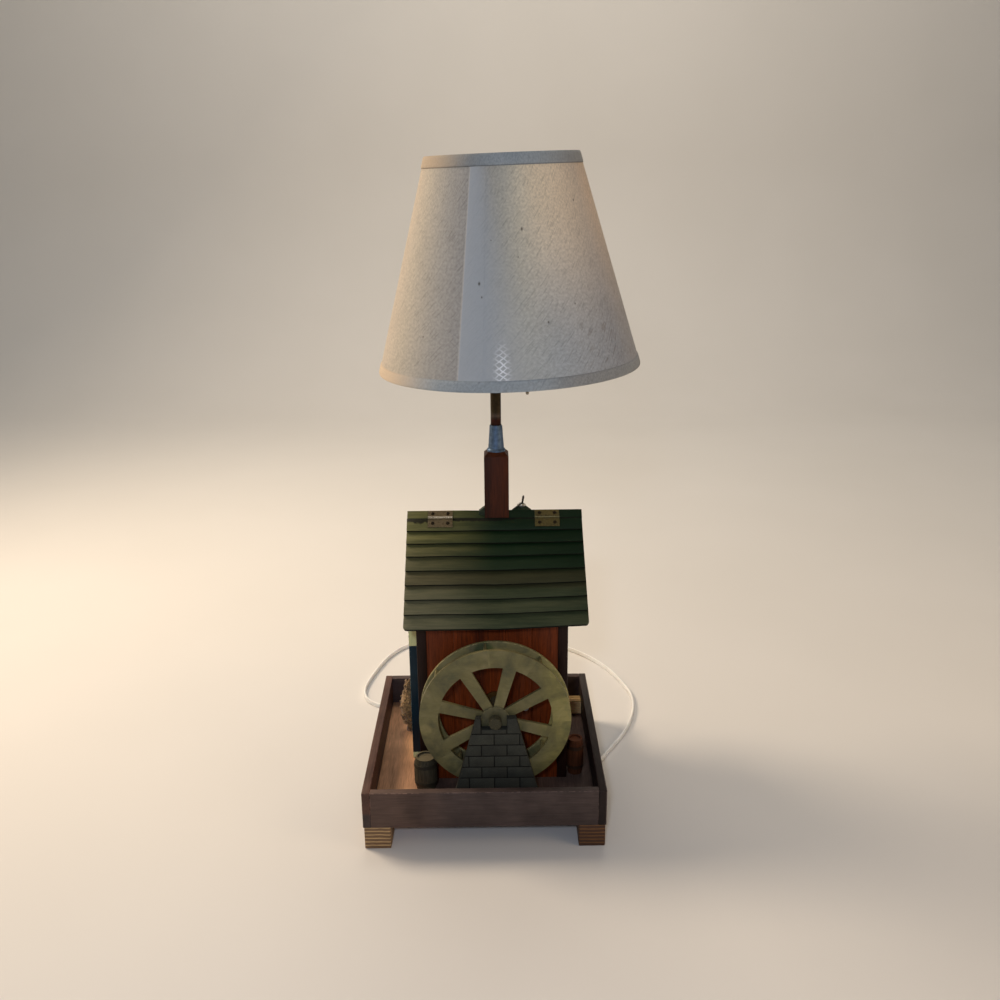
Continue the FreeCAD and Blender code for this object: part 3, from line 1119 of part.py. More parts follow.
def make_leads():
    """Leads inside the house and the post, meeting in two wire nuts."""
    low = FLOOR_Z + 2.0                       # top of the relief's stem
    nut_z = low + 29.0
    left, right = RELIEF_X - NUT_APART / 2, RELIEF_X + NUT_APART / 2
    nuts = [turned([(0, 0), (4.4, 0), (4.4, 5.0), (2.6, 12.8), (0, 13.5)],
                   V(x, RELIEF_Y, nut_z)) for x in (left, right)]
    y, lamp_y, post_y = RELIEF_Y, RELIEF_Y + 1.1, LAMP_Y + POST_W / 2 + 7.0
    core_z = CAP_Z + 7.4
    box = V(TOGGLE_X, TOGGLE_Y, BODY_TOP - TOGGLE_BODY_H)
    can_y = MOTOR_FACE + PLATE_T + MOTOR_L
    can_z = WHEEL_Z - MOTOR_DROP - 14.0
    drop_y = can_y + 7.0
    routes = []
    for side, x in ((-1, left), (1, right)):
        routes.append([(RELIEF_X + side * 2.6, y, low), (RELIEF_X + side * 2.6, y, low + 10),
                       (x, y - 2.2, low + 20), (x, y - 2.2, nut_z)])
        lamp_x, in_x = LAMP_X + side * 1.4, x - side * 1.9
        routes.append([(lamp_x, LAMP_Y, core_z), (lamp_x, LAMP_Y, LEAD_HOLE_Z),
                       (lamp_x, post_y, LEAD_HOLE_Z), (lamp_x, post_y, low + 14 + side * 2),
                       (in_x, post_y, low + 14 + side * 2), (in_x, lamp_y, low + 14 + side * 2),
                       (in_x, lamp_y, nut_z)])
    near_x, far_x = WHEEL_X + MOTOR_LEAD_NEAR, WHEEL_X + MOTOR_LEAD_FAR
    routes.append([(near_x, can_y, can_z), (near_x, drop_y, can_z), (near_x, drop_y, low + 20),
                   (left - 1.9, lamp_y, low + 20), (left - 1.9, lamp_y, nut_z)])
    wall_x = HOUSE_X1 - WALL_BACK - WALL_T - 4.5
    a, b = box + V(3, 0, 0), box + V(3, -6, -20)
    routes.append([tuple(a), tuple(b), (wall_x, b.y, b.z - 16), (wall_x, b.y, low + 20),
                   (right + 1.9, lamp_y, low + 20), (right + 1.9, lamp_y, nut_z)])
    a, b = box - V(3, 0, 0), box + V(-3, -6, -20)
    routes.append([tuple(a), tuple(b), (b.x, drop_y, b.z - LEAD_FALL),
                   (far_x, drop_y, b.z - 2 * LEAD_FALL), (far_x, drop_y, can_z), (far_x, can_y, can_z)])
    save("house_wiring", *nuts, *[tube(route, LEAD_R, 4.0)[0] for route in routes])


make_tray()
make_house()
make_roof()
make_post()
make_socket()
make_harp()
make_shade()
make_wheel()
make_motor()
make_pier()
make_goods()
make_door()
make_toggle()
make_cord()
make_leads()
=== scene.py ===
"""Water-mill table lamp: finishes, woodwork, cloth shade and cord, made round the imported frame.

Metres, +Z up, in the frame's own place: the table at Z = 0 and the wheel side facing -Y.
"""
import json
import math
import random
from functools import cached_property

import bmesh
import bpy
from bpy.props import FloatProperty, FloatVectorProperty, IntProperty, PointerProperty
from mathutils import Matrix, Vector, noise

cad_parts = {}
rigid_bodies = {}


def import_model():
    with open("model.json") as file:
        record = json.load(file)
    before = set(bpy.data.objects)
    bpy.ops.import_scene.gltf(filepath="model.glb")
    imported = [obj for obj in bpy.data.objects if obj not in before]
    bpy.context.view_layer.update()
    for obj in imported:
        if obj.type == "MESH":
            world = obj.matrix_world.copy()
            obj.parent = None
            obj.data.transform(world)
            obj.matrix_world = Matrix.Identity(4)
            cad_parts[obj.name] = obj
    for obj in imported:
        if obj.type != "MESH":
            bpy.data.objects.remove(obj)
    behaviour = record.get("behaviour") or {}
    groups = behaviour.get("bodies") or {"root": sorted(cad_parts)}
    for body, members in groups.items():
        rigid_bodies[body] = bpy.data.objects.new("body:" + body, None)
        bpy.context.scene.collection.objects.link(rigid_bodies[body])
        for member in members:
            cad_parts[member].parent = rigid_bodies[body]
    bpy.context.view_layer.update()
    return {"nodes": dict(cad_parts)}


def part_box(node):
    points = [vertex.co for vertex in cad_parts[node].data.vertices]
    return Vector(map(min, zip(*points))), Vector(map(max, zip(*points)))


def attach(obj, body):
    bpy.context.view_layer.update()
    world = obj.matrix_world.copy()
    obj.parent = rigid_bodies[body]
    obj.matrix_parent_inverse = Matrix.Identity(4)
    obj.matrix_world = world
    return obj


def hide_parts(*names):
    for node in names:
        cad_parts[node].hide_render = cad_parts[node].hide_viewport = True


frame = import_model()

bl_info = {
    "name": "Water-mill lamp",
    "version": (1, 0, 0),
    "blender": (4, 5, 0),
    "location": "View3D > Sidebar > Mill lamp",
    "description": "Dresses a water-mill table lamp in painted wood, cloth, metal and cord",
    "category": "Object",
}

MM = 0.001
UP = Vector((0, 0, 1))
SLACK = 0.01 * MM                # places closer than this are one place
PART_SHIFT = (0.37, 0.53, 0.71)  # metres that a part's grain moves for each step of its number

# The shade leans with the harp's crown: its axis, and the place of its washer on the stud
SHADE_AXIS = Vector((-0.03019, -0.00994, 0.99949)).normalized()
SHADE_ACROSS = Vector((0, 1, 0)).cross(SHADE_AXIS).normalized()
CROWN = Vector((5.9, 8.2, 641.0)) * MM
SHADE_H = 199.1 * MM
SHADE_R_BOTTOM = 128.5 * MM
SHADE_R_TOP = 72.4 * MM
SHADE_T = 1.0 * MM
SPIDER_DROP = 13.3 * MM          # washer seat below the top edge
SHADE_BOTTOM = CROWN + SHADE_AXIS * (SPIDER_DROP - SHADE_H)
TRIM_TOP_H = 10.8 * MM
TRIM_BOTTOM_H = 9.8 * MM
TRIM_GLUE = 0.25 * MM
TRIM_T = 0.8 * MM
CONE_ROWS, TRIM_ROWS = 12, 10    # steps up the cone and up a trim
SEAM_ANGLE = -112.0              # degrees round the shade, 0 towards +X
SEAM_WIDTH = 18.5 * MM
MID_R = (SHADE_R_BOTTOM + SHADE_R_TOP) / 2
CLOTH_ANGLE = 40.0               # degrees between the threads and the seam
# the cool band is partly doubled cloth and partly painted cool light
BAND_WIDTHS = 85 * MM, 24 * MM   # of the cool band, at the bottom and at the top
# dark knots of the cloth: degrees round from the seam, then height and size in mm
SPECKS = ((31.0, 135.4, 1.7), (8.1, 91.3, 1.7), (39.9, 56.6, 1.1), (28.0, 112.4, 0.8),
          (14.0, 127.0, 0.8), (69.0, 156.8, 1.2), (9.5, 80.0, 1.0), (-20.0, 45.0, 1.0),
          (55.0, 70.0, 0.9))
# where the cloth is glossier and carries a painted glint, and the glint's hatch: its leans in degrees
# and its thread in mm
GLOSS_AND_GLINT_AT = (math.radians(18.4) * MID_R, 18 * MM)
HATCH_LEANS, HATCH_THREAD = (38, -38), 6.5
# painted light and shade round the shade: tints by distance from the seam in mm
LIGHT_TINTS_FROM, LIGHT_TINTS_TO = -90 * MM, 160 * MM
CLOTH_LIGHT_TINTS = ((-90, (0.76, 0.76, 0.72)), (-62, (0.72, 0.76, 0.745)), (-25, (0.585, 0.665, 0.75)),
                (-3, (0.56, 0.64, 0.745)), (52, (0.815, 0.945, 1.0)), (100, (0.785, 0.88, 0.945)),
                (133, (0.62, 0.69, 0.77)), (158, (0.66, 0.68, 0.7)))

# Feet, and the heights between which the pipe's colour bands lie
PLY_PITCH, PLY_STRAY = 4.0 * MM, 2.2 * MM
PIPE_SEEN = 392 * MM, 446 * MM

# Roof slopes, and how far the lid's courses climb to the right
RIDGE_Y, RIDGE_Z = 7.0 * MM, 304.7 * MM
PITCH = math.radians(43.4)
LID_LENGTH = 131.3 * MM
LID_TAPER = 3.6 * MM
LID_CORNER = 3.5 * MM
BOARD_END = 1.5 * MM
BEND_CUTS = 12
WANDER_SEED = 7

# Wheel, on its axle along Y, and the places of its rim's joints in degrees
WHEEL_X, WHEEL_Z = -6.5 * MM, 121.8 * MM
RIM_INSIDE = 55 * MM
HUB_CLEAR = 20 * MM              # a joint's cut starts this far from the axle
RIM_JOINTS = (-68, -38, 19, 57, 94, 133, 177, 188, 236, 262)
# (x, z) and reach in mm, and tint: two paler let-in pieces and a darker hub in front, and
# behind them a green smudge with a dark knot
FRONT_PATCHES = ((-76.0, 111.0, 8.0, (1.35, 1.3, 1.25)), (52.0, 172.0, 7.0, (1.25, 1.25, 1.2)),
                 (-6.5, 121.8, 18.0, (0.72, 0.74, 0.88)))
FAR_PATCHES = ((-17.0, 187.5, 12.0, (0.45, 0.62, 0.48)), (-11.5, 186.5, 2.4, (0.15, 0.2, 0.15)))

# Goods on the tray, and the depth of the pier's joints
STAVE_INSET, STAVE_T, STAVE_GROOVE = 0.5 * MM, 2.2 * MM, 0.35 * MM
HEAD_SUNK = 1.8 * MM
TWIG_H = 9 * MM
JOINT_DEEP = 0.7 * MM

# Route of the mains cord, from its strain relief down to the table, and there to the coil
# behind the mill
CORD_LIFT = 2.9 * MM             # centre of the cord above the table
CORD_DROP_MM = ((68, -5, 15.5), (83.5, -5, 15.5), (98, -2.4, 9.1))
CORD_LYING_MM = (
    (110, 8), (121, 28), (137, 54), (151, 80), (160, 107), (166, 134), (167, 163), (159, 195),
    (148, 227), (133, 255), (113, 281), (86, 305), (52, 325), (12, 338), (-32, 343), (-76, 339),
    (-112, 325), (-140, 304), (-155, 276), (-165, 244), (-173, 210), (-177, 178), (-168, 152),
    (-144, 137), (-112, 132), (-81, 136), (-52, 143), (-22, 146))
COIL_CENTRE = Vector((-10, 180, 0)) * MM
COIL_MEAN_R = 33.0 * MM
COIL_TURN_POINTS = 16
COIL_START, COIL_TURNS = -90.0, 4.0
PLUG_ANGLE = -60.0               # where the cord leaves the coil for the plug, degrees
PLUG_MID_Z = 6.0 * MM
CORD_SIDES, CORD_WAIST = 20, 0.28

# Camera that takes in the whole lamp from in front and a little above
CAMERA_AT = Vector((-0.00379, -0.97750, 0.63028))
CAMERA_RIGHT = Vector((0.999927, -0.007655, -0.009371))
CAMERA_UP = Vector((0.011257, 0.304374, 0.952489))
CAMERA_LENS = 35.98
CAMERA_SENSOR = 36.0
FLOOR_HALF = 3.0
FLOOR_BACK = 1.7                 # where the floor starts to curve up
FLOOR_DROP = 0.2 * MM
BACKDROP_R = 0.7
# name, place, target, size, watts, colour
LIGHTS = (("key", (-1.1, 0.5, 1.35), (0, 0, 0.3), 0.6, 20.0, "#ffe8cc"),
          ("low_left", (-1.4, 0.2, 0.75), (0, 0, 0.5), 0.6, 4.0, "#ffdfb8"),
          ("flash", (-0.13, -1.32, 0.94), (0, 0, 0.3), 0.10, 5.0, "#e0eaff"),
          ("right", (1.15, -0.6, 0.72), (0, 0, 0.5), 0.7, 3.6, "#ffdcb0"),
          ("backdrop", (0, 1.1, 2.5), (0, 2.2, 0.7), 1.4, 26.0, "#fff4e6"))


# ---------------------------------------------------------------- colours and sizes a user may change
def linear(code):
    """Linear RGB of an sRGB hex colour."""
    parts = (int(code[i:i + 2], 16) / 255 for i in (1, 3, 5))
    return tuple(c / 12.92 if c <= 0.04045 else ((c + 0.055) / 1.055) ** 2.4 for c in parts)


def rgba(shade):
    """Four linear numbers from an sRGB hex colour, a linear colour or a grey."""
    if isinstance(shade, str):
        shade = linear(shade)
    elif isinstance(shade, (int, float)):
        shade = (shade,) * 3
    return (*shade[:3], 1)


def tone(colour, factor):
    """A colour made lighter or darker."""
    return tuple(min(1.0, c * factor) for c in rgba(colour)[:3])


def hue(name, description, code):
    """Colour property with an sRGB hex default."""
    return FloatVectorProperty(name=name, description=description, default=linear(code),
                               subtype="COLOR", size=3, min=0, max=1)


def length(name, description, mm):
    """Length property with a default in millimetres."""
    return FloatProperty(name=name, description=description, default=mm * MM, min=0,
                         subtype="DISTANCE", unit="LENGTH")


class MillLampSizes(bpy.types.PropertyGroup):
    """Small sizes of the woodwork, cloth and cord."""
    board_round: length("Board edges", "Rounding along sawn and sanded edges", 0.7)
    post_round: length("Post edges", "Rounding along the lamp post", 1.1)
    roof_round: length("Clapboard edges", "Rounding along painted clapboards", 0.55)
    roof_wander: length("Clapboard wander", "How far a clapboard's edge strays", 0.28)
    wheel_round: length("Wheel edges", "Rounding of the painted wheel", 0.6)
    brick_round: length("Brick edges", "Rounding of the pier's scored bricks", 0.25)
    cord_wide: length("Cord width", "Width of the flat two-core cord", 5.6)
    cord_thick: length("Cord thickness", "Thickness of the flat two-core cord", 2.9)
    trim_bulge: length("Trim bulge", "How far the shade's folded tape stands out", 0.35)
    staves: IntProperty(name="Staves", description="Staves round a barrel", default=12, min=6, max=24)
    moss_clumps: IntProperty(name="Moss clumps", description="Clumps on the moss tree",
                             default=420, min=50, max=1200)


class MillLampHues(bpy.types.PropertyGroup):
    """Main colour of each finish."""
    tray: hue("Tray", "Stained tray rails", "#4c403d")
    tray_floor: hue("Tray floor", "Boards inside the tray", "#c0906a")
    plank: hue("Planks", "Red-brown wall boards", "#77330f")
    corner: hue("Corner posts", "Dark corner posts", "#22100a")
    post: hue("Post", "Lamp post", "#471d05")
    roof: hue("Roof", "Green roof paint", "#0c2310")
    wheel: hue("Wheel", "Khaki wheel paint", "#6f6944")
    pier: hue("Pier", "Painted stone pier", "#2c2e27")
    door: hue("Door", "Teal door enamel", "#012a38")
    lintel: hue("Lintel", "Cream lintel", "#dbe3a6")
    cloth: hue("Shade cloth", "Woven shade cloth", "#cdbfae")
    # the band colour is laid beside the seam as doubled cloth and as painted cool light
    band: hue("Shade overlap", "Cooler, doubled cloth beside the seam", "#afb8c0")
    moss: hue("Moss", "Dried moss", "#8a6c43")
    cord: hue("Cord", "White cord", "#f2f1ec")


def hues():
    return bpy.context.scene.mill_lamp_hues


def sizes():
    return bpy.context.scene.mill_lamp_sizes


# ---------------------------------------------------------------- finishes in the making
class Finish:
    """A material in the making: base is its colour so far, and lengths are in millimetres."""

    def __init__(self, name, **fixed):
        self.material = bpy.data.materials.new(name)
        self.material.use_nodes = True
        self.tree = self.material.node_tree
        self.shader = self.tree.nodes["Principled BSDF"]
        for key, value in fixed.items():
            self.shader.inputs[key.replace("_", " ")].default_value = value

    def node(self, kind, sockets=None, out=0, **settings):
        """Add a node with its settings and its sockets' values or links, and give one output."""
        node = self.tree.nodes.new("ShaderNode" + kind)
        for key, value in settings.items():
            setattr(node, key, value)
        for key, value in (sockets or {}).items():
            if isinstance(value, bpy.types.NodeSocket):
                self.tree.links.new(value, node.inputs[key])
            else:
                node.inputs[key].default_value = value
        return node.outputs[out]

    @cached_property
    def here(self):
        """Place on the object."""
        return self.node("TexCoord", out="Object")

    @cached_property
    def there(self):
        """Place on the object, moved by each part's own number so that no two parts match."""
        away = self.node("CombineXYZ", dict.fromkeys(range(3), self.number))
        return self.node("VectorMath", {0: away, 1: PART_SHIFT, 2: self.here},
                         operation="MULTIPLY_ADD")

    @cached_property
    def number(self):
        """The part's own number."""
        return self.mark("board")

    @cached_property
    def flat(self):
        """Place on cloth: round from the seam, and up."""
        return self.node("UVMap", out="UV", uv_map="cloth")

    def mark(self, name):
        """A number that the mesh carries."""
        return self.node("Attribute", out="Fac", attribute_name=name)

    def axis(self, name, at=None):
        """One coordinate of a place."""
        return self.node("SeparateXYZ", {"Vector": self.here if at is None else at}, out=name)

    def calc(self, kind, *values):
        """One sum with numbers or fields."""
        return self.node("Math", dict(enumerate(values)), operation=kind)

    def product(self, first, second):
        return self.calc("MULTIPLY", first, second)

    def remap(self, value, low=0.0, high=1.0, first=0.0, last=1.0, kind="LINEAR"):
        """Turn low to high into first to last, and hold it there."""
        return self.node("MapRange", {"Value": value, "From Min": low, "From Max": high,
                                      "To Min": first, "To Max": last}, interpolation_type=kind)

    def toward(self, axis, start, end, at=None):
        """Share that grows from 0 to 1 between two places along an axis."""
        return self.remap(self.axis(axis, at), start * MM, end * MM, kind="SMOOTHSTEP")

    def ramp(self, share, *stops):
        """Greys or colours between stops along a share."""
        colours = self.node("ValToRGB", {"Fac": share})
        elements = colours.node.color_ramp.elements
        for k, (position, shade) in enumerate(stops):
            stop = elements[k] if k < 2 else elements.new(position)
            stop.position, stop.color = position, rgba(shade)
        return colours

    def noise(self, at, scale=1.0, detail=2.0, rough=0.5, warp=0.0):
        return self.node("TexNoise", {"Vector": at, "Scale": scale, "Detail": detail,
                                      "Roughness": rough, "Distortion": warp})

    def wave(self, at, direction, warp, warp_scale):
        """Parallel threads."""
        return self.node("TexWave", {"Vector": at, "Scale": 0.5, "Distortion": warp,
                                     "Detail": 2.0, "Detail Scale": warp_scale},
                         wave_type="BANDS", bands_direction=direction)

    def stretched(self, at, along, fine, long):
        """Place in units of a grain: fine across, and long in direction along."""
        scale = [1 / (fine * MM)] * 3
        scale[along] = 1 / (long * MM)
        return self.node("Mapping", {"Vector": at, "Scale": scale})

    def grain(self, along, fine, long, detail=3.0, rough=0.5, warp=0.0):
        """Noise drawn out along an axis, as wood fibre and brush marks are."""
        return self.noise(self.stretched(self.there, along, fine, long), 1.0, detail, rough, warp)

    def turned(self, degrees, thread=1 / MM):
        """Place on the cloth, turned, in units of a thread."""
        return self.node("Mapping", {"Vector": self.flat, "Scale": (1 / (thread * MM),) * 3,
                                     "Rotation": (0, 0, math.radians(degrees))})

    def away(self, at, centre, reach):
        """Distance from a centre in metres, in units of a reach; an axis with no reach is left out."""
        scale = [1 / r if r else 0 for r in reach]
        moved = self.node("Mapping", {"Vector": at, "Scale": scale,
                                      "Location": [-c * s for c, s in zip(centre, scale)]})
        return self.node("VectorMath", {0: moved}, out="Value", operation="LENGTH")

    def spot(self, centre, reach):
        """Share that falls from 1 at a place on the cloth to 0 at its reach (across, up)."""
        return self.remap(self.away(self.flat, (*centre, 0), (*reach, 0)), first=1.0, last=0.0,
                          kind="SMOOTHSTEP")

    def mix(self, share, first, second, kind="MIX"):
        """Mix two colours or fields by a share."""
        first, second = (v if isinstance(v, bpy.types.NodeSocket) else rgba(v)
                         for v in (first, second))
        return self.node("MixRGB", {"Fac": share, "Color1": first, "Color2": second},
                         blend_type=kind)

    def over(self, share, colour):
        """Lay a colour over the base."""
        self.base = self.mix(share, self.base, colour)

    def tint(self, colour, share=1.0):
        """Multiply the base by a colour or a field."""
        self.base = self.mix(share, self.base, colour, "MULTIPLY")

    def streak(self, field, dark_stop, light_stop, share):
        """Darken and lighten the base by a field."""
        self.tint(self.ramp(field, dark_stop, light_stop), share)

    def vary(self, low, high):
        """Give each part a lightness of its own."""
        chance = self.node("TexWhiteNoise", {"W": self.number}, noise_dimensions="1D")
        self.tint(self.remap(chance, first=low, last=high))

    def rub(self, scale, colour):
        """Rub the marked edges off in broken patches."""
        broken = self.ramp(self.noise(self.here, scale, 3.0), (0.45, 0), (0.62, 0.85))
        self.over(self.product(self.mark("wear"), broken), colour)

    def made(self, rough=None, height=None, depth=0.1):
        """Wire the base, a roughness and a bump into the shader."""
        links = {"Base Color": self.base, "Roughness": rough}
        if height is not None:
            links["Normal"] = self.node("Bump", {"Height": height, "Distance": depth * MM,
                                                 "Strength": 1.0})
        for key, value in links.items():
            if value is not None:
                self.tree.links.new(value, self.shader.inputs[key])
        return self.material


# ---------------------------------------------------------------- pieces in the making
class Piece:
    """One mesh being made. Its faces carry their part's number and a mark where edges wear."""

    def __init__(self, node=None):
        self.mesh = bmesh.new()
        self.number = self.mesh.faces.layers.float.new("board")
        self.wear = self.mesh.faces.layers.float.new("wear")
        self.parts = 0
        if node:
            self.copy(node)

    def copy(self, node):
        """Add a merged copy of a CAD node, with flat faces joined, and number its solids."""
        bm = self.mesh
        bm.from_mesh(frame["nodes"][node].data)
        self.number = bm.faces.layers.float["board"]
        self.wear = bm.faces.layers.float["wear"]
        bmesh.ops.remove_doubles(bm, verts=bm.verts, dist=2e-6)
        bmesh.ops.dissolve_limit(bm, angle_limit=math.radians(1.5), verts=bm.verts, edges=bm.edges)
        for face in bm.faces:
            if not face[self.number]:
                self.parts += 1
                reach = [face]
                while reach:
                    here = reach.pop()
                    if not here[self.number]:
                        here[self.number] = self.parts
                        reach += [f for e in here.edges for f in e.link_faces if not f[self.number]]

    def close_part(self):
        """Give the faces made since the last part their number."""
        self.parts += 1
        for face in self.mesh.faces:
            if not face[self.number]:
                face[self.number] = self.parts

    def bevel(self, edges, width, segments, **more):
        """Bevel some edges, and give the new faces."""
        return bmesh.ops.bevel(self.mesh, geom=edges, offset=width, offset_type="OFFSET",
                               segments=segments, profile=0.5, affect="EDGES", material=-1,
                               **more)["faces"]

    def soften(self, width, edges=None, segments=2, sharper=30.0):
        """Bevel sharp edges, and mark the new faces as worn."""
        if edges is None:
            edges = [e for e in self.mesh.edges
                     if e.is_manifold and e.calc_face_angle(0) > math.radians(sharper)]
        for face in self.bevel(edges, width, segments, clamp_overlap=True):
            face[self.wear] = 1.0

    def block(self, low, high, bevel):
        """Board between two corners, with rounded edges."""
        made = bmesh.ops.create_cube(self.mesh, size=1.0)["verts"]
        size = Vector(high) - Vector(low)
        bmesh.ops.scale(self.mesh, vec=size, verts=made)
        bmesh.ops.translate(self.mesh, vec=(Vector(low) + Vector(high)) / 2, verts=made)
        self.soften(bevel, list({e for v in made for e in v.link_edges}))
        self.close_part()

    def turned(self, profile, base, steps):
        """Spin a (radius, height) outline round the upright through base."""
        side = UP.orthogonal().normalized()
        points = [self.mesh.verts.new(base + side * r + UP * h) for r, h in profile]
        edges = [self.mesh.edges.new(pair) for pair in zip(points, points[1:])]
        bmesh.ops.spin(self.mesh, geom=points + edges, cent=base, axis=UP, angle=math.tau,
                       steps=steps, use_merge=True)
        fresh = [v for v in self.mesh.verts if any(not f[self.number] for f in v.link_faces)]
        bmesh.ops.remove_doubles(self.mesh, verts=fresh, dist=1e-7)
        fresh = [f for f in self.mesh.faces if not f[self.number]]
        bmesh.ops.recalc_face_normals(self.mesh, faces=fresh)
        self.close_part()

    def wander(self, amount, scale, directions):
        """Move vertices a little by smooth noise, as sawn and painted wood strays."""
        noise.seed_set(WANDER_SEED)    # unseeded, noise_vector differs from run to run
        for vert in self.mesh.verts:
            away = noise.noise_vector(vert.co * scale)
            vert.co += Vector(a * d for a, d in zip(away, directions)) * amount

    def cut_along(self):
        """Cut a piece across its length along X, so that it can bend."""
        places = [v.co.x for v in self.mesh.verts]
        low, high = min(places), max(places)
        for k in range(1, BEND_CUTS):
            geom = [*self.mesh.verts, *self.mesh.edges, *self.mesh.faces]
            bmesh.ops.bisect_plane(self.mesh, geom=geom, dist=1e-6, plane_no=(1, 0, 0),
                                   plane_co=(low + (high - low) * k / BEND_CUTS, 0, 0))

    def number_faces(self, axis, way):
        """Number each face that looks one way along an axis, so that neighbours differ."""
        for face in self.mesh.faces:
            if face.normal[axis] * way > 0.9:
                self.parts += 1
                face[self.number] = self.parts + 3

    def done(self, name, body, material, slot, nodes=(), smooth=40.0):
        """Write the mesh as an object that rides on a body and stands for CAD nodes."""
        mesh = bpy.data.meshes.new(name)
        self.mesh.to_mesh(mesh)
        self.mesh.free()
        for one in material if isinstance(material, (list, tuple)) else [material]:
            mesh.materials.append(one)
        mesh.shade_smooth()
        mesh.set_sharp_from_angle(angle=math.radians(smooth))
        return placed(linked(name, mesh), body, nodes)


def linked(name, data):
    """Put new data in the scene as an object."""
    made = bpy.data.objects.new(name, data)
    bpy.context.scene.collection.objects.link(made)
    return made


def placed(piece, body, nodes=()):
    """Hand a finished object to the frame."""
    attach(piece, body)
    if nodes:
        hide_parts(*nodes)
    return piece


def softened(node, name, body, material, slot, width, **soft):
    """Carry a CAD node over with its edges rounded."""
    piece = Piece(node)
    piece.soften(width, **soft)
    return piece.done(name, body, material, slot, (node,))


def dress(material, *nodes):
    """Give CAD nodes that stay in view their finish."""
    for node in nodes:
        for place in frame["nodes"][node].material_slots:
            place.material = material


def is_point(element):
    return isinstance(element, bmesh.types.BMVert)


# ---------------------------------------------------------------- finishes
def sawn_wood(name, colour, along, ring=2.4, rough=0.5, light=1.35, dark=0.6, mottled=0.5,
              worn=1.5, streaks=0.75, sides=()):
    """Stained softwood with a satin varnish: streaked grain, darker pores, paler rubbed edges."""
    wood = Finish(name, Specular_IOR_Level=0.2)
    figure = wood.grain(along, ring, ring * 14, 5.0, 0.6, 0.9)
    fibre = wood.grain(along, 0.45, 16)
    wood.base = wood.ramp(figure, (0.3, tone(colour, dark)), (0.72, tone(colour, light)),
                          (0.5, colour))
    wood.streak(fibre, (0.3, 0.62), (0.62, 1.12), streaks)
    wood.streak(wood.noise(wood.here, 34.0, 4.0), (0.32, 0.7), (0.68, 1.25), mottled)
    wood.vary(0.82, 1.18)
    wood.rub(260.0, tone(colour, worn))
    for axis, start, end, tint in sides:
        wood.tint(tint, wood.toward(axis, start, end))
    return wood.made(wood.remap(fibre, 0.3, 0.7, rough + 0.12, rough - 0.08), fibre, 0.12)


def painted_wood(name, colour, along, second, rough, chips=None, cloud_scale=30.0):
    """Brushed enamel on wood: brush marks along the board, a second mottled colour, chips."""
    paint = Finish(name, Coat_Weight=0.05, Coat_Roughness=0.35, Specular_IOR_Level=0.25)
    brush = paint.grain(along, 0.6, 22)
    cloud = paint.noise(paint.there, cloud_scale, 5.0, 0.62, 0.5)
    paint.base = paint.mix(paint.ramp(cloud, (0.36, 0), (0.66, 0.6)), colour, second)
    paint.streak(brush, (0.28, 0.78), (0.65, 1.12), 0.6)
    paint.vary(0.9, 1.1)
    if chips:
        paint.rub(420.0, chips)
    return paint.made(paint.remap(brush, 0.3, 0.7, rough + 0.1, rough - 0.06), brush)


def roof_paint():
    """Satin green enamel: a painted olive sheen on the left, a paler grey-olive low down, and a
    painted shadow under each lap.
    """
    paint = Finish("green_roof_enamel", Specular_IOR_Level=0.2)
    brush = paint.grain(0, 0.7, 30)
    cloud = paint.grain(0, 9, 70, 5.0, 0.6)
    dust_and_sheen = paint.ramp(cloud, (0.3, 0.35), (0.6, 1.0))
    low = paint.toward("Z", 266, 228)
    lit = paint.mix(paint.toward("Z", 285, 262), "#6b6a40", "#5c5a3e")
    lit = paint.mix(low, lit, "#63624c")
    paint.base = paint.mix(paint.product(low, dust_and_sheen), hues().roof, "#3f4531")
    # painted sheen: lit olive colours laid over the left of the roof
    paint.over(paint.product(paint.toward("X", 0, -80), dust_and_sheen), lit)
    muddy = paint.product(paint.toward("Z", 242, 245), paint.toward("Z", 258, 255))
    paint.over(paint.product(muddy, 0.3), "#433520")
    paint.streak(brush, (0.28, 0.72), (0.66, 1.15), 0.7)
    paint.rub(300.0, "#4c4a30")
    # painted shadow under each lap: it reaches further below a lap on the left, and its edge strays
    reach = paint.remap(paint.toward("X", -90, 80), first=6.2 * MM, last=2.0 * MM)
    stray = paint.remap(paint.noise(paint.there, 90.0, 4.0), 0.3, 0.7, 0.45, 1.25)
    lap_shadow = paint.calc("DIVIDE", paint.mark("lap"), paint.product(stray, reach))
    paint.over(paint.remap(lap_shadow, 0.75, 1.0, 0.92, 0.0), "#0b0d08")
    return paint.made(paint.remap(cloud, 0.3, 0.7, 0.58, 0.42), brush, 0.12)


def brick_paint():
    """Matt grey-green paint over scored plaster, gritty, with paler rubbed edges."""
    stone = hues().pier
    paint = Finish("painted_plaster_bricks", Roughness=0.85)
    grit = paint.noise(paint.here, 900.0)
    paint.base = paint.ramp(paint.noise(paint.there, 45.0, 6.0, 0.65), (0.3, tone(stone, 0.62)),
                            (0.7, tone(stone, 1.4)), (0.5, stone))
    paint.streak(grit, (0.35, 0.7), (0.65, 1.2), 0.7)
    paint.vary(0.84, 1.2)
    paint.rub(500.0, tone(stone, 1.7))
    return paint.made(None, grit, 0.12)


def joint_paint(name="dark_joint_paint", low="#0d0c0a", high="#1d1c18"):
    """Black-brown paint for the pier's joints and for the painted shadow under the roof's laps: matt,
    gritty, almost without colour.
    """
    paint = Finish(name, Roughness=0.9, Specular_IOR_Level=0.2)
    grit = paint.noise(paint.here, 700.0)
    paint.base = paint.ramp(grit, (0.3, low), (0.7, high))
    return paint.made(None, grit)


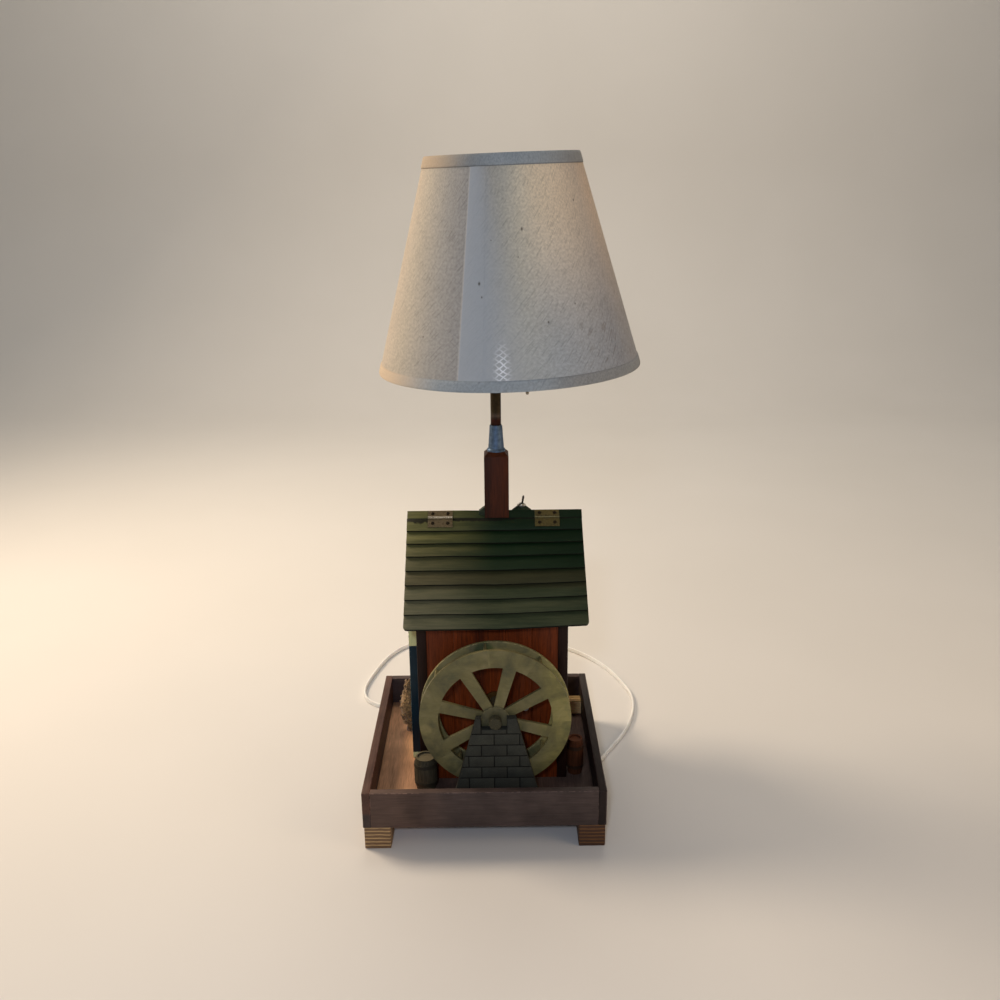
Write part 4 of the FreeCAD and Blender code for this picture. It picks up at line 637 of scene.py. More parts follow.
def metal(name, colour, rough, second=None, scale=120.0, depth=0.02, metallic=1.0):
    """Bare metal: fine cast texture and a patchy tarnish."""
    bare = Finish(name, Metallic=metallic)
    cloud = bare.noise(bare.here, scale, 5.0, 0.6)
    bare.base = bare.mix(bare.ramp(cloud, (0.4, 0), (0.64, 0.5)), colour,
                         second or tone(colour, 0.6))
    return bare.made(bare.remap(cloud, 0.3, 0.7, rough - 0.06, rough + 0.14),
                     bare.noise(bare.here, 1400.0), depth)


def hinge_metal():
    """Stamped steel leaves: nickel-coloured on the left, brassy and spotted on the right, with a
    painted highlight on the knuckles.
    """
    steel = Finish("stamped_hinge_steel", Metallic=0.8)
    spots = steel.ramp(steel.noise(steel.here, 700.0, 3.0), (0.45, 0), (0.7, 0.7))
    steel.base = steel.mix(spots, "#8c7f66", "#5a4f3d")
    # painted highlight: the knuckles are painted near-white where they face up
    facing = steel.axis("Z", steel.node("TexCoord", out="Normal"))
    steel.over(steel.remap(facing, 0.78, 0.92), "#fbf6ea")
    brass = steel.mix(spots, "#6f6745", "#454530")
    steel.over(steel.remap(steel.axis("X"), -20 * MM, 20 * MM), brass)
    return steel.made(steel.remap(spots, first=0.28, last=0.55), spots, 0.03)


def moulded(name, colour, rough, translucent=0.0):
    """Moulded plastic: even colour with a faint flow mottle and a fine satin grain."""
    plastic = Finish(name, Subsurface_Weight=translucent)
    cloud = plastic.noise(plastic.here, 60.0, 4.0)
    plastic.base = plastic.mix(cloud, tone(colour, 0.86), tone(colour, 1.1))
    return plastic.made(plastic.remap(cloud, first=rough - 0.05, last=rough + 0.1),
                        plastic.noise(plastic.here, 2200.0, 1.0), 0.02)


def woven_cloth(name, colour, second, thread, dark):
    """Linen-look cloth in the making, and its height: crossed threads, darker slubs, a mottle."""
    cloth = Finish(name, Sheen_Weight=0.2, Sheen_Roughness=0.5, Roughness=0.85)
    turned = cloth.turned(CLOTH_ANGLE, thread)
    waves, slubs = [], []
    for direction, squeeze, few in (("X", (1.0, 0.08, 1.0), 0.56), ("Y", (0.08, 1.0, 1.0), 0.6)):
        waves.append(cloth.wave(turned, direction, 1.8, 0.7))
        long_one = cloth.node("Mapping", {"Vector": turned, "Scale": squeeze})
        slubs.append(cloth.ramp(cloth.noise(long_one, 0.9), (few, 0), (few + 0.1, 1)))
    weave = cloth.calc("MAXIMUM", *waves)
    cloth.base = cloth.mix(cloth.noise(cloth.flat, 30.0, 5.0, 0.6), colour, second)
    cloth.tint(cloth.remap(weave, first=0.82, last=1.06), 0.9)
    cloth.tint(cloth.remap(cloth.noise(cloth.flat, 420.0), 0.3, 0.7, 0.84, 1.12))
    for slub, share in zip(slubs, (dark, dark * 0.6)):
        cloth.over(cloth.product(slub, share), tone(colour, 0.5))
    return cloth, cloth.calc("ADD", weave, slubs[0])


def shade_cloth():
    """The shade's laminated linen: a warm ground with painted light and shade round it, a cool band
    from the seam that is doubled cloth and painted cool light, and a painted glint.
    """
    warm = hues().cloth
    cloth, height = woven_cloth("shade_linen", tone(warm, 1.25), warm, 1.0, 0.5)
    around, up = (cloth.axis(name, cloth.flat) for name in "XY")
    wide = LIGHT_TINTS_TO - LIGHT_TINTS_FROM
    # painted light and shade: the cloth is tinted round from the seam
    cloth.tint(cloth.ramp(cloth.remap(around, LIGHT_TINTS_FROM, LIGHT_TINTS_TO),
                          *(((at * MM - LIGHT_TINTS_FROM) / wide, tint) for at, tint in CLOTH_LIGHT_TINTS)))
    # painted light and shade on the right: warmer and lighter towards the top, cooler and darker low
    # down
    right_side_light = cloth.mix(cloth.toward("Y", 20, 175, cloth.flat), (0.76, 0.85, 1.03),
                       (1.55, 1.36, 1.16))
    cloth.tint(right_side_light, cloth.toward("X", 30, 80, cloth.flat))
    # the cool band beside the seam: doubled cloth over the overlap, and painted cool light beyond it,
    # widest at the bottom
    fade = cloth.calc("DIVIDE", around, cloth.remap(up, 0.0, SHADE_H, *BAND_WIDTHS))
    fade = cloth.remap(fade, 0.15, 1.0, 0.85, 0.0, "SMOOTHSTEP")
    cloth.over(cloth.product(fade, cloth.calc("GREATER_THAN", around, 0.0)), hues().band)
    # painted highlight: a thin pale line where the overlap's raised cut edge catches the light
    edge = cloth.calc("ABSOLUTE", cloth.calc("SUBTRACT", around, -0.4 * MM))
    cloth.over(cloth.remap(edge, 0.3 * MM, 1.1 * MM, 0.4, 0.0), "#d8d6d2")
    # raking light picks out the slubs low on the right
    raked = cloth.product(cloth.toward("X", 70, 125, cloth.flat),
                          cloth.toward("Y", 120, 40, cloth.flat))
    slub = cloth.noise(cloth.stretched(cloth.turned(CLOTH_ANGLE), 1, 1.3, 12))
    slub = cloth.ramp(slub, (0.56, 0), (0.66, 0.55))
    cloth.over(cloth.product(slub, raked), tone(warm, 0.3))
    for turn, high, size in SPECKS:
        knot = cloth.spot((math.radians(turn) * MID_R, high * MM), (size * MM, size * 1.5 * MM))
        cloth.over(knot, tone(warm, 0.12))
    hatch = cloth.calc("MAXIMUM", *(cloth.wave(cloth.turned(lean, HATCH_THREAD), "Y", 3.0, 1.2)
                                    for lean in HATCH_LEANS))
    hatch = cloth.remap(hatch, 0.72, 0.97, 0.05, 1.0)
    # painted glint: a near-white hatched highlight laid into the colour; the roughness below makes the
    # same place glossier
    cloth.over(cloth.product(cloth.spot(GLOSS_AND_GLINT_AT, (8.5 * MM, 32 * MM)), hatch), "#f6faff")
    gloss = cloth.product(cloth.spot(GLOSS_AND_GLINT_AT, (10 * MM, 50 * MM)), hatch)
    return cloth.made(cloth.remap(gloss, first=0.8, last=0.3), height, 0.12)


def trim_tape():
    """Bias tape: finer cloth than the shade's, greyer, with painted warm light on the left, painted
    shade on the upper tape's left and both tapes' right, and a painted shadow along their inner edges.
    """
    tape, height = woven_cloth("shade_bias_tape", "#acb4b9", "#929fa7", 0.9, 0.4)
    above = tape.toward("Y", 90, 110, tape.flat)
    # painted light and shade: warm light laid on the left, the upper tape's left darkened again, and
    # the right darkened
    left = tape.mix(above, tape.toward("X", -50, -110), tape.toward("X", -15, -60))
    tape.over(tape.product(left, 0.85), "#d7bd99")
    tape.tint(0.74, tape.product(above, tape.toward("X", 5, -25)))
    tape.tint((0.84, 0.76, 0.7), tape.toward("X", 30, 75))
    # painted shadow along where each tape ends, deeper under the upper one
    for fold, share in ((TRIM_BOTTOM_H, 0.15), (SHADE_H - TRIM_TOP_H, 0.55)):
        far = tape.calc("ABSOLUTE", tape.calc("SUBTRACT", tape.axis("Y", tape.flat), fold))
        tape.over(tape.remap(far, 0.4 * MM, 1.3 * MM, share, 0.0), "#4a4643")
    return tape.made(None, height, 0.12)


def plywood_edge():
    """Sawn plywood shown on its edge: pale and dark plies in level bands, rough to the eye."""
    wood = Finish("sawn_plywood_edge", Roughness=0.75)
    level = wood.calc("MULTIPLY_ADD", wood.noise(wood.there, 60.0, 3.0), PLY_STRAY, wood.axis("Z"))
    ply = wood.calc("SINE", wood.product(level, math.tau / PLY_PITCH))
    wood.base = wood.ramp(ply, (0.25, "#775b41"), (0.75, "#bf9d6c"))
    fibre = wood.grain(0, 0.5, 9)
    wood.streak(fibre, (0.3, 0.6), (0.65, 1.15), 0.8)
    # painted shade: the plies darken towards the right
    wood.tint((0.32, 0.21, 0.13), wood.toward("X", -60, 60))
    return wood.made(None, fibre, 0.25)


def pipe_bronze():
    """Threaded steel pipe in brown-black plate, with a grey band and a red-brown foot."""
    bronze = Finish("bronze_plated_pipe", Metallic=0.8)
    bronze.base = bronze.ramp(
        bronze.remap(bronze.axis("Z"), *PIPE_SEEN), (0.0, "#170b08"), (0.14, "#3f1c14"),
        (0.18, "#40332a"), (0.22, "#5f524a"), (0.3, "#3e3425"), (0.7, "#3a311f"))
    stain = bronze.noise(bronze.here, 300.0, 4.0)
    bronze.streak(stain, (0.3, 0.6), (0.7, 1.3), 0.8)
    return bronze.made(bronze.remap(stain, first=0.35, last=0.6), stain, 0.04)


def wheel_paint(name, bright, patches):
    """Khaki paint rubbed thin over wood: olive and green patches, pale chips, faint grain."""
    paint = Finish(name, Coat_Weight=0.05, Coat_Roughness=0.4, Specular_IOR_Level=0.3)
    cloud = paint.noise(paint.there, 36.0, 5.0, 0.62, 0.6)
    paint.base = paint.ramp(cloud, (0.3, "#545139"), (0.72, "#817854"), (0.5, hues().wheel))
    moss = paint.ramp(paint.noise(paint.there, 70.0, 4.0), (0.55, 0), (0.72, 0.45))
    paint.over(moss, "#3d4633")
    grain = paint.grain(0, 0.6, 14)
    paint.streak(grain, (0.3, 0.82), (0.65, 1.08), 0.6)
    paint.vary(0.86, 1.14)
    paint.rub(320.0, "#8f8760")
    paint.tint((1.4, 1.4, 1.15), paint.toward("X", 30, 55))
    for x, z, reach, tint in patches:
        away = paint.away(paint.here, (x * MM, 0, z * MM), (reach * MM, 0, reach * MM))
        paint.tint(tint, paint.remap(away, 1.0, 0.6, kind="SMOOTHSTEP"))
    paint.tint(bright)
    return paint.made(paint.remap(cloud, first=0.62, last=0.4), grain)


def dried_moss():
    """Dried golden moss: straw tips, brown hollows and a few bright glints."""
    straw = hues().moss
    moss = Finish("dried_moss", Roughness=0.8, Sheen_Weight=0.3)
    fine = moss.noise(moss.there, 420.0, 4.0, 0.7)
    moss.base = moss.ramp(fine, (0.32, tone(straw, 0.3)), (0.68, tone(straw, 2.0)), (0.52, straw))
    moss.vary(0.6, 1.35)
    return moss.made(None, fine, 0.5)


# ---------------------------------------------------------------- stage
class MILLLAMP_OT_stage(bpy.types.Operator):
    """Pale floor, soft studio light and the camera"""
    bl_idname = "mill_lamp.stage"
    bl_label = "Floor, lights and camera"

    def execute(self, context):
        scene = context.scene
        scene.view_settings.view_transform = "Standard"
        scene.camera = linked("camera", bpy.data.cameras.new("camera"))
        behind = CAMERA_RIGHT.cross(CAMERA_UP)
        matrix = Matrix((CAMERA_RIGHT, CAMERA_UP, behind)).transposed().to_4x4()
        matrix.translation = CAMERA_AT
        scene.camera.matrix_world = matrix
        scene.camera.data.sensor_width = CAMERA_SENSOR
        scene.camera.data.lens = CAMERA_LENS
        paper_floor()
        for name, at, target, size, watts, colour in LIGHTS:
            data = bpy.data.lights.new(name, "AREA")
            data.shape, data.size, data.energy, data.color = "DISK", size, watts, linear(colour)
            lamp = linked(name, data)
            lamp.location = at
            lamp.rotation_euler = (Vector(target) - Vector(at)).to_track_quat("-Z", "Y").to_euler()
        world = bpy.data.worlds.new("studio")
        scene.world = world
        world.use_nodes = True
        glow = world.node_tree.nodes["Background"].inputs
        glow["Color"].default_value = (0.97, 0.98, 1.0, 1)
        glow["Strength"].default_value = 0.16
        return {"FINISHED"}


def paper_floor():
    """Table top that runs back and curves up behind the lamp."""
    bm = bmesh.new()
    edge = [bm.verts.new((-FLOOR_HALF, y, 0)) for y in (-FLOOR_HALF, FLOOR_BACK)]
    bm.edges.new(edge)
    curve = bmesh.ops.spin(bm, geom=[edge[1]], cent=(0, FLOOR_BACK, BACKDROP_R), axis=(1, 0, 0),
                           angle=math.pi / 2, steps=16)
    top = [v for v in curve["geom_last"] if is_point(v)]
    rise = bmesh.ops.extrude_vert_indiv(bm, verts=top)["verts"]
    bmesh.ops.translate(bm, vec=(0, 0, 2 * FLOOR_HALF), verts=rise)
    sheet = bmesh.ops.extrude_edge_only(bm, edges=bm.edges[:])["geom"]
    bmesh.ops.translate(bm, vec=(2 * FLOOR_HALF, 0, 0), verts=[v for v in sheet if is_point(v)])
    bmesh.ops.recalc_face_normals(bm, faces=bm.faces)
    paper = Finish("pale_paper_floor", Roughness=0.9)
    paper.base = paper.mix(paper.noise(paper.here, 3.0), "#d9d7d2", "#e0deda")
    floor = smooth_object("floor", bm, paper.made())
    floor.location.z = -FLOOR_DROP
    return floor


def smooth_object(name, bm, material):
    """Write a mesh in the making as a smooth object of one finish."""
    mesh = bpy.data.meshes.new(name)
    bm.to_mesh(mesh)
    bm.free()
    mesh.materials.append(material)
    mesh.shade_smooth()
    return linked(name, mesh)


# ---------------------------------------------------------------- cord
def grown(value, start, rate=1.0):
    """Share that grows from 0 at start to 1, and stays there."""
    return min(1.0, max(0.0, (value - start) * rate))


def coil_place(degrees, radius, height):
    """Place on the coil."""
    turn = math.radians(degrees)
    return COIL_CENTRE + Vector((radius * math.cos(turn), radius * math.sin(turn), height))


def cord_points():
    """Control points of the cord: its route, the coil's turns, and the way to the plug."""
    points = [Vector(p) * MM for p in CORD_DROP_MM]
    points += [Vector((x * MM, y * MM, CORD_LIFT)) for x, y in CORD_LYING_MM]
    thick, layer = sizes().cord_thick, sizes().cord_wide + 0.1 * MM
    steps = round((COIL_TURNS + (PLUG_ANGLE - COIL_START) / 360) * COIL_TURN_POINTS)
    for k in range(1, steps + 1):
        turn = k / COIL_TURN_POINTS
        # the second turn closes in, the third climbs on to it, the fourth opens out again, and
        # the end drops a little towards the plug
        drop = grown(turn, COIL_TURNS - 0.25, 3)
        radius = COIL_MEAN_R + thick / 2 - thick * (grown(turn, 1.0) - grown(turn, 2.9))
        radius += (COIL_MEAN_R - radius) * drop
        height = CORD_LIFT + layer * grown(turn, 1.9)
        height += (PLUG_MID_Z - height) * drop * 0.6
        points.append(coil_place(COIL_START + 360 * turn, radius, height))
    angle = math.radians(PLUG_ANGLE)
    ahead = Vector((-math.sin(angle), math.cos(angle), 0))
    leave = coil_place(PLUG_ANGLE, COIL_MEAN_R, PLUG_MID_Z)
    return points + [leave + ahead * (far * MM) for far in (6, 13)]


def spline_line(points, name):
    """Places along a smooth NURBS curve that control points lead."""
    curve = bpy.data.curves.new(name, "CURVE")
    curve.dimensions = "3D"
    curve.resolution_u = 8
    spline = curve.splines.new("NURBS")
    spline.points.add(len(points) - 1)
    for point, place in zip(spline.points, points):
        point.co = (*place, 1)
    spline.order_u = 3
    spline.use_endpoint_u = True
    carrier = linked(name, curve)
    graph = bpy.context.evaluated_depsgraph_get()
    line = bpy.data.meshes.new_from_object(carrier.evaluated_get(graph))
    places = [v.co.copy() for v in line.vertices]
    bpy.data.objects.remove(carrier)
    bpy.data.meshes.remove(line)
    return places


def swept(line, section):
    """Sweep a (side, up) section along a line, upright, with lengthwise UVs in metres."""
    bm = bmesh.new()
    uv = bm.loops.layers.uv.new("cloth")
    rings, run = [], []
    for k, here in enumerate(line):
        before, after = line[max(k - 1, 0)], line[min(k + 1, len(line) - 1)]
        ahead = (after - before).normalized()
        side = ahead.cross(UP).normalized()
        up = side.cross(ahead)
        rings.append([bm.verts.new(here + side * a + up * b) for a, b in section])
        run.append((run[-1] if run else 0.0) + (here - before).length)
    count = len(section)
    for k, (first, second) in enumerate(zip(rings, rings[1:])):
        for j in range(count):
            n = (j + 1) % count
            face = bm.faces.new((first[j], first[n], second[n], second[j]))
            places = ((run[k], j), (run[k], j + 1), (run[k + 1], j + 1), (run[k + 1], j))
            for loop, (along, round_it) in zip(face.loops, places):
                loop[uv].uv = (along, round_it / count)
    for ring in (rings[0], rings[-1]):
        bm.faces.new(ring)
    bmesh.ops.recalc_face_normals(bm, faces=bm.faces)
    return bm


def cord_section():
    """Outline of two round cores side by side, one over the other, as (side, up)."""
    rib = sizes().cord_thick / 2
    core = sizes().cord_wide / 2 - rib
    for k in range(CORD_SIDES):
        angle = math.tau * k / CORD_SIDES
        up = math.sin(angle)
        yield (rib * math.cos(angle) * (1 - CORD_WAIST * (1 - abs(up)) ** 2),
               math.copysign(core, up) * min(1, abs(up) * 6) + rib * up)


class MILLLAMP_OT_cord(bpy.types.Operator):
    """White flat two-core cord, from under the tray to its coil and plug"""
    bl_idname = "mill_lamp.cord"
    bl_label = "Mains cord"

    def execute(self, context):
        white = moulded("white_pvc", hues().cord, 0.38, 0.05)
        line = spline_line(cord_points(), "cord_route")
        cord = smooth_object("mains_cord", swept(line, list(cord_section())), white)
        placed(cord, "mill", ("cord_tube", "cord_coil"))
        plug = softened("plug", "mains_plug", "mill", [white, metal("plug_brass", "#b79a5a", 0.3)],
                        "cord_plastic", 0.9 * MM, segments=3)
        number = plug.data.attributes["board"].data
        for face in plug.data.polygons:            # the first solid is the moulding, then the pins
            face.material_index = int(number[face.index].value > 1.5)
        softened("strain_relief", "cord_strain_relief", "mill", white, "cord_plastic", 0.3 * MM,
                 sharper=50)
        return {"FINISHED"}


# ---------------------------------------------------------------- woodwork
class MILLLAMP_OT_tray(bpy.types.Operator):
    """Tray rails, floor board and feet"""
    bl_idname = "mill_lamp.tray"
    bl_label = "Tray"

    def execute(self, context):
        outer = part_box("tray_rail_right")[1].x / MM
        # painted light and shade: the front rail lighter towards the left, the left rail's top
        # lighter, the right rail darker but for its outer edge
        for place, along, sides in (
                ("front", 0, (("X", -40, -100, (1.55, 1.35, 1.15)),)),
                ("rear", 0, ()),
                ("left", 1, (("Z", 38, 41, (1.4, 1.0, 0.8)),)),
                ("right", 1, (("X", outer - 0.6, outer - 1.4, (0.32, 0.29, 0.27)),))):
            name = "stained_rail_" + place
            softened("tray_rail_" + place, name, "mill",
                     sawn_wood(name, hues().tray, along, 3.0, 0.5, 1.15, 0.8, 0.9, worn=1.9,
                               streaks=0.4, sides=sides), "tray_wood", sizes().board_round)
        # painted shade and light: the floor darker from beside the mill rightwards, and lighter
        # towards the back
        softened("tray_floor", "tray_board", "mill",
                 sawn_wood("tray_board_wood", hues().tray_floor, 1, 5.0, 0.5, 1.2, 0.75, 0.6,
                           sides=(("X", -88, -72, (0.2, 0.24, 0.36)),
                                  ("Y", -40, 20, (1.4, 1.45, 1.5)))), "tray_wood", 0.2 * MM)
        softened("feet", "block_feet", "mill", plywood_edge(), "foot_wood", 1.0 * MM)
        return {"FINISHED"}


class MILLLAMP_OT_house(bpy.types.Operator):
    """Plank walls, corner posts and the side door"""
    bl_idname = "mill_lamp.house"
    bl_label = "Mill house"

    def execute(self, context):
        # one board of the front wall is darker, and the joint beside it has opened a little
        strips = (("X", -27, -26, (0.55, 0.5, 0.5)), ("X", -17.5, -16.5, (1.8, 2.0, 2.0)),
                  ("X", -12, -11.4, (1.5, 1.7, 1.9)), ("X", -11.2, -10.8, (0.75, 0.65, 0.6)),
                  ("X", 8, 10, (0.85, 0.85, 0.85)))
        planks, front = (sawn_wood(name, hues().plank, 2, 2.2, 0.5, 1.4, 0.5, 0.5, sides=bands)
                         for name, bands in (("redwood_planks", ()), ("redwood_front", strips)))
        teal, cream = hues().door, hues().lintel
        enamel = painted_wood("teal_enamel", teal, 2, tone(teal, 0.45), 0.4, "#4f6f70")
        for side, axis, way, wood in (("front", 0, -1, front), ("rear", 0, 1, planks),
                                      ("left", 1, -1, planks), ("right", 1, 1, planks)):
            boarded("wall_" + side, "plank_wall_" + side, axis, way, wood, "plank_wood", 0.35 * MM)
        softened("corner_posts", "dark_corner_posts", "mill",
                 sawn_wood("walnut_stained_posts", hues().corner, 2, 1.8, 0.5, 1.4, 0.6),
                 "corner_wood", 0.6 * MM)
        boarded("door_panel", "teal_door", 1, -1, enamel, "door_paint", 0.5 * MM)
        softened("door_frame", "cream_door_frame", "mill",
                 painted_wood("cream_paint", cream, 2, tone(cream, 0.72), 0.55, "#5d5a3e"),
                 "corner_wood", 0.5 * MM)
        return {"FINISHED"}


def boarded(node, name, axis, way, material, slot, width):
    """Carry planks over with the faces that look one way numbered, and their edges rounded."""
    planks = Piece(node)
    planks.number_faces(axis, way)
    planks.soften(width, sharper=35)
    planks.done(name, "mill", material, slot, (node,))


def slope_run(place, side):
    """Distance from the ridge line down the front (-1) or rear (+1) slope."""
    return side * (place.y - RIDGE_Y) * math.cos(PITCH) + (RIDGE_Z - place.z) * math.sin(PITCH)


def lap_boards(boards, side):
    """Note each point's distance below the lap above it, and stagger the boards' ends a little."""
    layer = boards.mesh.verts.layers.float.new("lap")
    parts = {}
    for face in boards.mesh.faces:
        parts.setdefault(face[boards.number], set()).update(face.verts)
    for number, verts in parts.items():
        first = min(slope_run(v.co, side) for v in verts)
        low, high = min(v.co.x for v in verts), max(v.co.x for v in verts)
        stray = random.Random(int(number) * 7)
        left, right = (stray.uniform(-0.5, 0.5) * MM for _ in "lr")
        for vert in verts:
            vert[layer] = slope_run(vert.co, side) - first
            if vert.co.x < low + BOARD_END:
                vert.co.x += left
            elif vert.co.x > high - BOARD_END:
                vert.co.x += right


def round_low_corners(lid):
    """Round the two lower corners of the lid's last board, seen square to the slope."""
    ends = [e for e in lid.mesh.edges if abs(e.verts[0].co.x - e.verts[1].co.x) < SLACK]
    lowest = max(slope_run(v.co, -1) for e in ends for v in e.verts)
    corners = [e for e in ends if all(slope_run(v.co, -1) > lowest - SLACK for v in e.verts)]
    lid.bevel(corners, LID_CORNER, 5)


def taper_lid(lid):
    """The lid was sawn out of square: its courses climb towards the right gable."""
    high = max(v.co.x for v in lid.mesh.verts)
    for vert in lid.mesh.verts:
        share = max(0.0, vert.co.x / high) * max(0.0, slope_run(vert.co, -1)) / LID_LENGTH
        vert.co += Vector((0.4, math.cos(PITCH), math.sin(PITCH))) * LID_TAPER * share


class MILLLAMP_OT_roof(bpy.types.Operator):
    """Clapboards of the lid and the rear slope, decks and ridge cap"""
    bl_idname = "mill_lamp.roof"
    bl_label = "Roof"

    def execute(self, context):
        green = roof_paint()
        shadow = joint_paint("painted_lap_shadow", "#080a06", "#15180f")
        for node, body, name, side in (("lid_clapboards", "lid", "lid_boards", -1),
                                       ("rear_clapboards", "mill", "rear_boards", 1),
                                       ("ridge_cap", "mill", "ridge_board", 0)):
            boards = Piece(node)
            if side < 0:
                round_low_corners(boards)
            boards.soften(sizes().roof_round)
            boards.cut_along()
            if side:
                lap_boards(boards, side)
                # painted shade: the clapboards' lower edges take black paint for the shadow under each
                # lap
                down = Vector((0, side * math.cos(PITCH), -math.sin(PITCH)))
                for face in boards.mesh.faces:
                    if face.normal.dot(down) > 0.75:
                        face.material_index = 1
            else:
                layer = boards.mesh.verts.layers.float.new("lap")
                for vert in boards.mesh.verts:
                    vert[layer] = LID_LENGTH
            if side < 0:
                taper_lid(boards)
            boards.wander(sizes().roof_wander, 42.0, (0, 1, 1))
            boards.done(name, body, [green, shadow], "roof_wood", (node,))
        deck = sawn_wood("unpainted_deck", "#8d6a45", 0, 3.0, 0.6)
        under = Piece("lid_deck")
        under.soften(0.3 * MM)
        under.cut_along()
        taper_lid(under)
        under.done("lid_deck_board", "lid", deck, "roof_wood", ("lid_deck",))
        softened("rear_deck", "rear_deck_board", "mill", deck, "roof_wood", 0.3 * MM)
        dress(hinge_metal(), "hinge_leaves_upper", "hinge_leaves_lower")
        dress(metal("hinge_screw_steel", "#3a342a", 0.4, "#1e1a15", 900.0),
              "hinge_screws_upper", "hinge_screws_lower")
        return {"FINISHED"}


class MILLLAMP_OT_post(bpy.types.Operator):
    """Lamp post, its collar and pipe, and the ridge filler"""
    bl_idname = "mill_lamp.post"
    bl_label = "Post and neck"

    def execute(self, context):
        softened("post", "mahogany_post", "mill",
                 sawn_wood("mahogany_stained_post", hues().post, 2, 2.0, 0.5, 1.3, 0.6, 0.4,
                           worn=1.3, sides=(("X", -6, -12, (0.62, 0.64, 0.5)),)),
                 "post_wood", sizes().post_round, sharper=25)
        dress(metal("cast_zinc", "#667d9a", 0.45, "#42505f", 260.0, 0.06), "neck_collar")
        dress(pipe_bronze(), "lamp_pipe")
        dress(painted_wood("green_filler", "#1d281a", 0, "#3a4431", 0.7, cloud_scale=300.0),
              "ridge_filler")
        return {"FINISHED"}


# ---------------------------------------------------------------- shade
class MILLLAMP_OT_shade(bpy.types.Operator):
    """Cloth shade with its overlap, its folded trims and its wire frame"""
    bl_idname = "mill_lamp.shade"
    bl_label = "Shade"

    def execute(self, context):
        cloth = shade_cloth()
        lining = moulded("styrene_lining", "#d8d3c6", 0.5)
        cone = cone_wall(0.0, SHADE_H, 0.0, -SHADE_T, 360.0, 160)
        cone.done("shade_linen_cone", "shade", [cloth, lining], "shade_cloth", ("shade_cone",))
        flap = cone_wall(TRIM_BOTTOM_H * 0.4, SHADE_H - TRIM_TOP_H * 0.4, 0.22 * MM, 0.02 * MM,
                         math.degrees(SEAM_WIDTH / MID_R), 10)
        flap.done("shade_overlap", "shade", [cloth, cloth], "shade_cloth")
        tape = trim_tape()
        for name, low, high, nodes in (("lower_trim", 0.0, TRIM_BOTTOM_H, ("shade_trims",)),
                                       ("upper_trim", SHADE_H - TRIM_TOP_H, SHADE_H, ())):
            band = folded_trim(low, high, sizes().trim_bulge)
            band.done(name, "shade", tape, "trim_cloth", nodes)
        dress(metal("plated_shade_wire", "#b9b2a2", 0.35), "shade_frame")
        return {"FINISHED"}


def cone_radius(height):
    """Outer radius of the shade at a height along its axis."""
    return SHADE_R_BOTTOM + (SHADE_R_TOP - SHADE_R_BOTTOM) * height / SHADE_H


def spun_cloth(outline, start, sweep, steps, uv_radius):
    """Spin a closed (radius, height) outline round the shade's axis, with cloth UVs."""
    piece = Piece()
    bm = piece.mesh
    uv = bm.loops.layers.uv.new("cloth")
    points = [bm.verts.new(SHADE_BOTTOM + start * r + SHADE_AXIS * h) for r, h in outline]
    edges = [bm.edges.new(pair) for pair in zip(points, points[1:] + points[:1])]
    whole = sweep >= 360
    if not whole:
        bm.faces.new(points)
    spun = bmesh.ops.spin(bm, geom=points + edges, cent=SHADE_BOTTOM, axis=SHADE_AXIS,
                          angle=math.radians(sweep), steps=steps, use_merge=whole)
    if not whole:
        bm.faces.new([v for v in spun["geom_last"] if is_point(v)])
    bmesh.ops.recalc_face_normals(bm, faces=bm.faces)
    side = SHADE_AXIS.cross(start)

    def turn_of(place):
        return math.atan2(place.dot(side), place.dot(start))

    for face in bm.faces:
        middle = turn_of(face.calc_center_median() - SHADE_BOTTOM)
        for loop in face.loops:
            place = loop.vert.co - SHADE_BOTTOM
            turn = turn_of(place)
            turn += math.tau * round((middle - turn) / math.tau)
            loop[uv].uv = (turn * uv_radius, place.dot(SHADE_AXIS))
    piece.close_part()
    return piece


def outward(place):
    """Part of a place that lies square to the shade's axis."""
    place = place - SHADE_BOTTOM
    return place - SHADE_AXIS * place.dot(SHADE_AXIS)


def cone_wall(low, high, outer, inner, sweep, steps):
    """Wall of the shade's cone from the seam round, as thick as outer less inner."""
    heights = [low + (high - low) * k / CONE_ROWS for k in range(CONE_ROWS + 1)]
    outline = [(cone_radius(h) + outer, h) for h in heights]
    outline += [(cone_radius(h) + inner, h) for h in reversed(heights)]
    seam = Matrix.Rotation(math.radians(SEAM_ANGLE), 3, SHADE_AXIS) @ SHADE_ACROSS
    wall = spun_cloth(outline, seam, sweep, steps, MID_R)
    for face in wall.mesh.faces:
        face.material_index = int(face.normal.dot(outward(face.calc_center_median())) <= 0)
    return wall


def folded_trim(low, high, bulge):
    """Folded tape round an edge of the shade: rounded folds with a slightly proud middle."""
    outline = []
    for k in range(TRIM_ROWS + 1):
        share = k / TRIM_ROWS
        fold = math.sin(math.pi * min(1, share * 5, (1 - share) * 5) / 2)
        height = low + (high - low) * share
        outline.append((cone_radius(height) + TRIM_GLUE + (TRIM_T - TRIM_GLUE) * fold, height))
    outline += [(cone_radius(height) + TRIM_GLUE * 0.4, height) for height in (high, low)]
    band = spun_cloth(outline, SHADE_ACROSS, 360.0, 180, SHADE_R_BOTTOM)
    for vert in band.mesh.verts:
        vert.co += outward(vert.co).normalized() * noise.noise(vert.co * 90.0) * bulge * 0.3
    return band


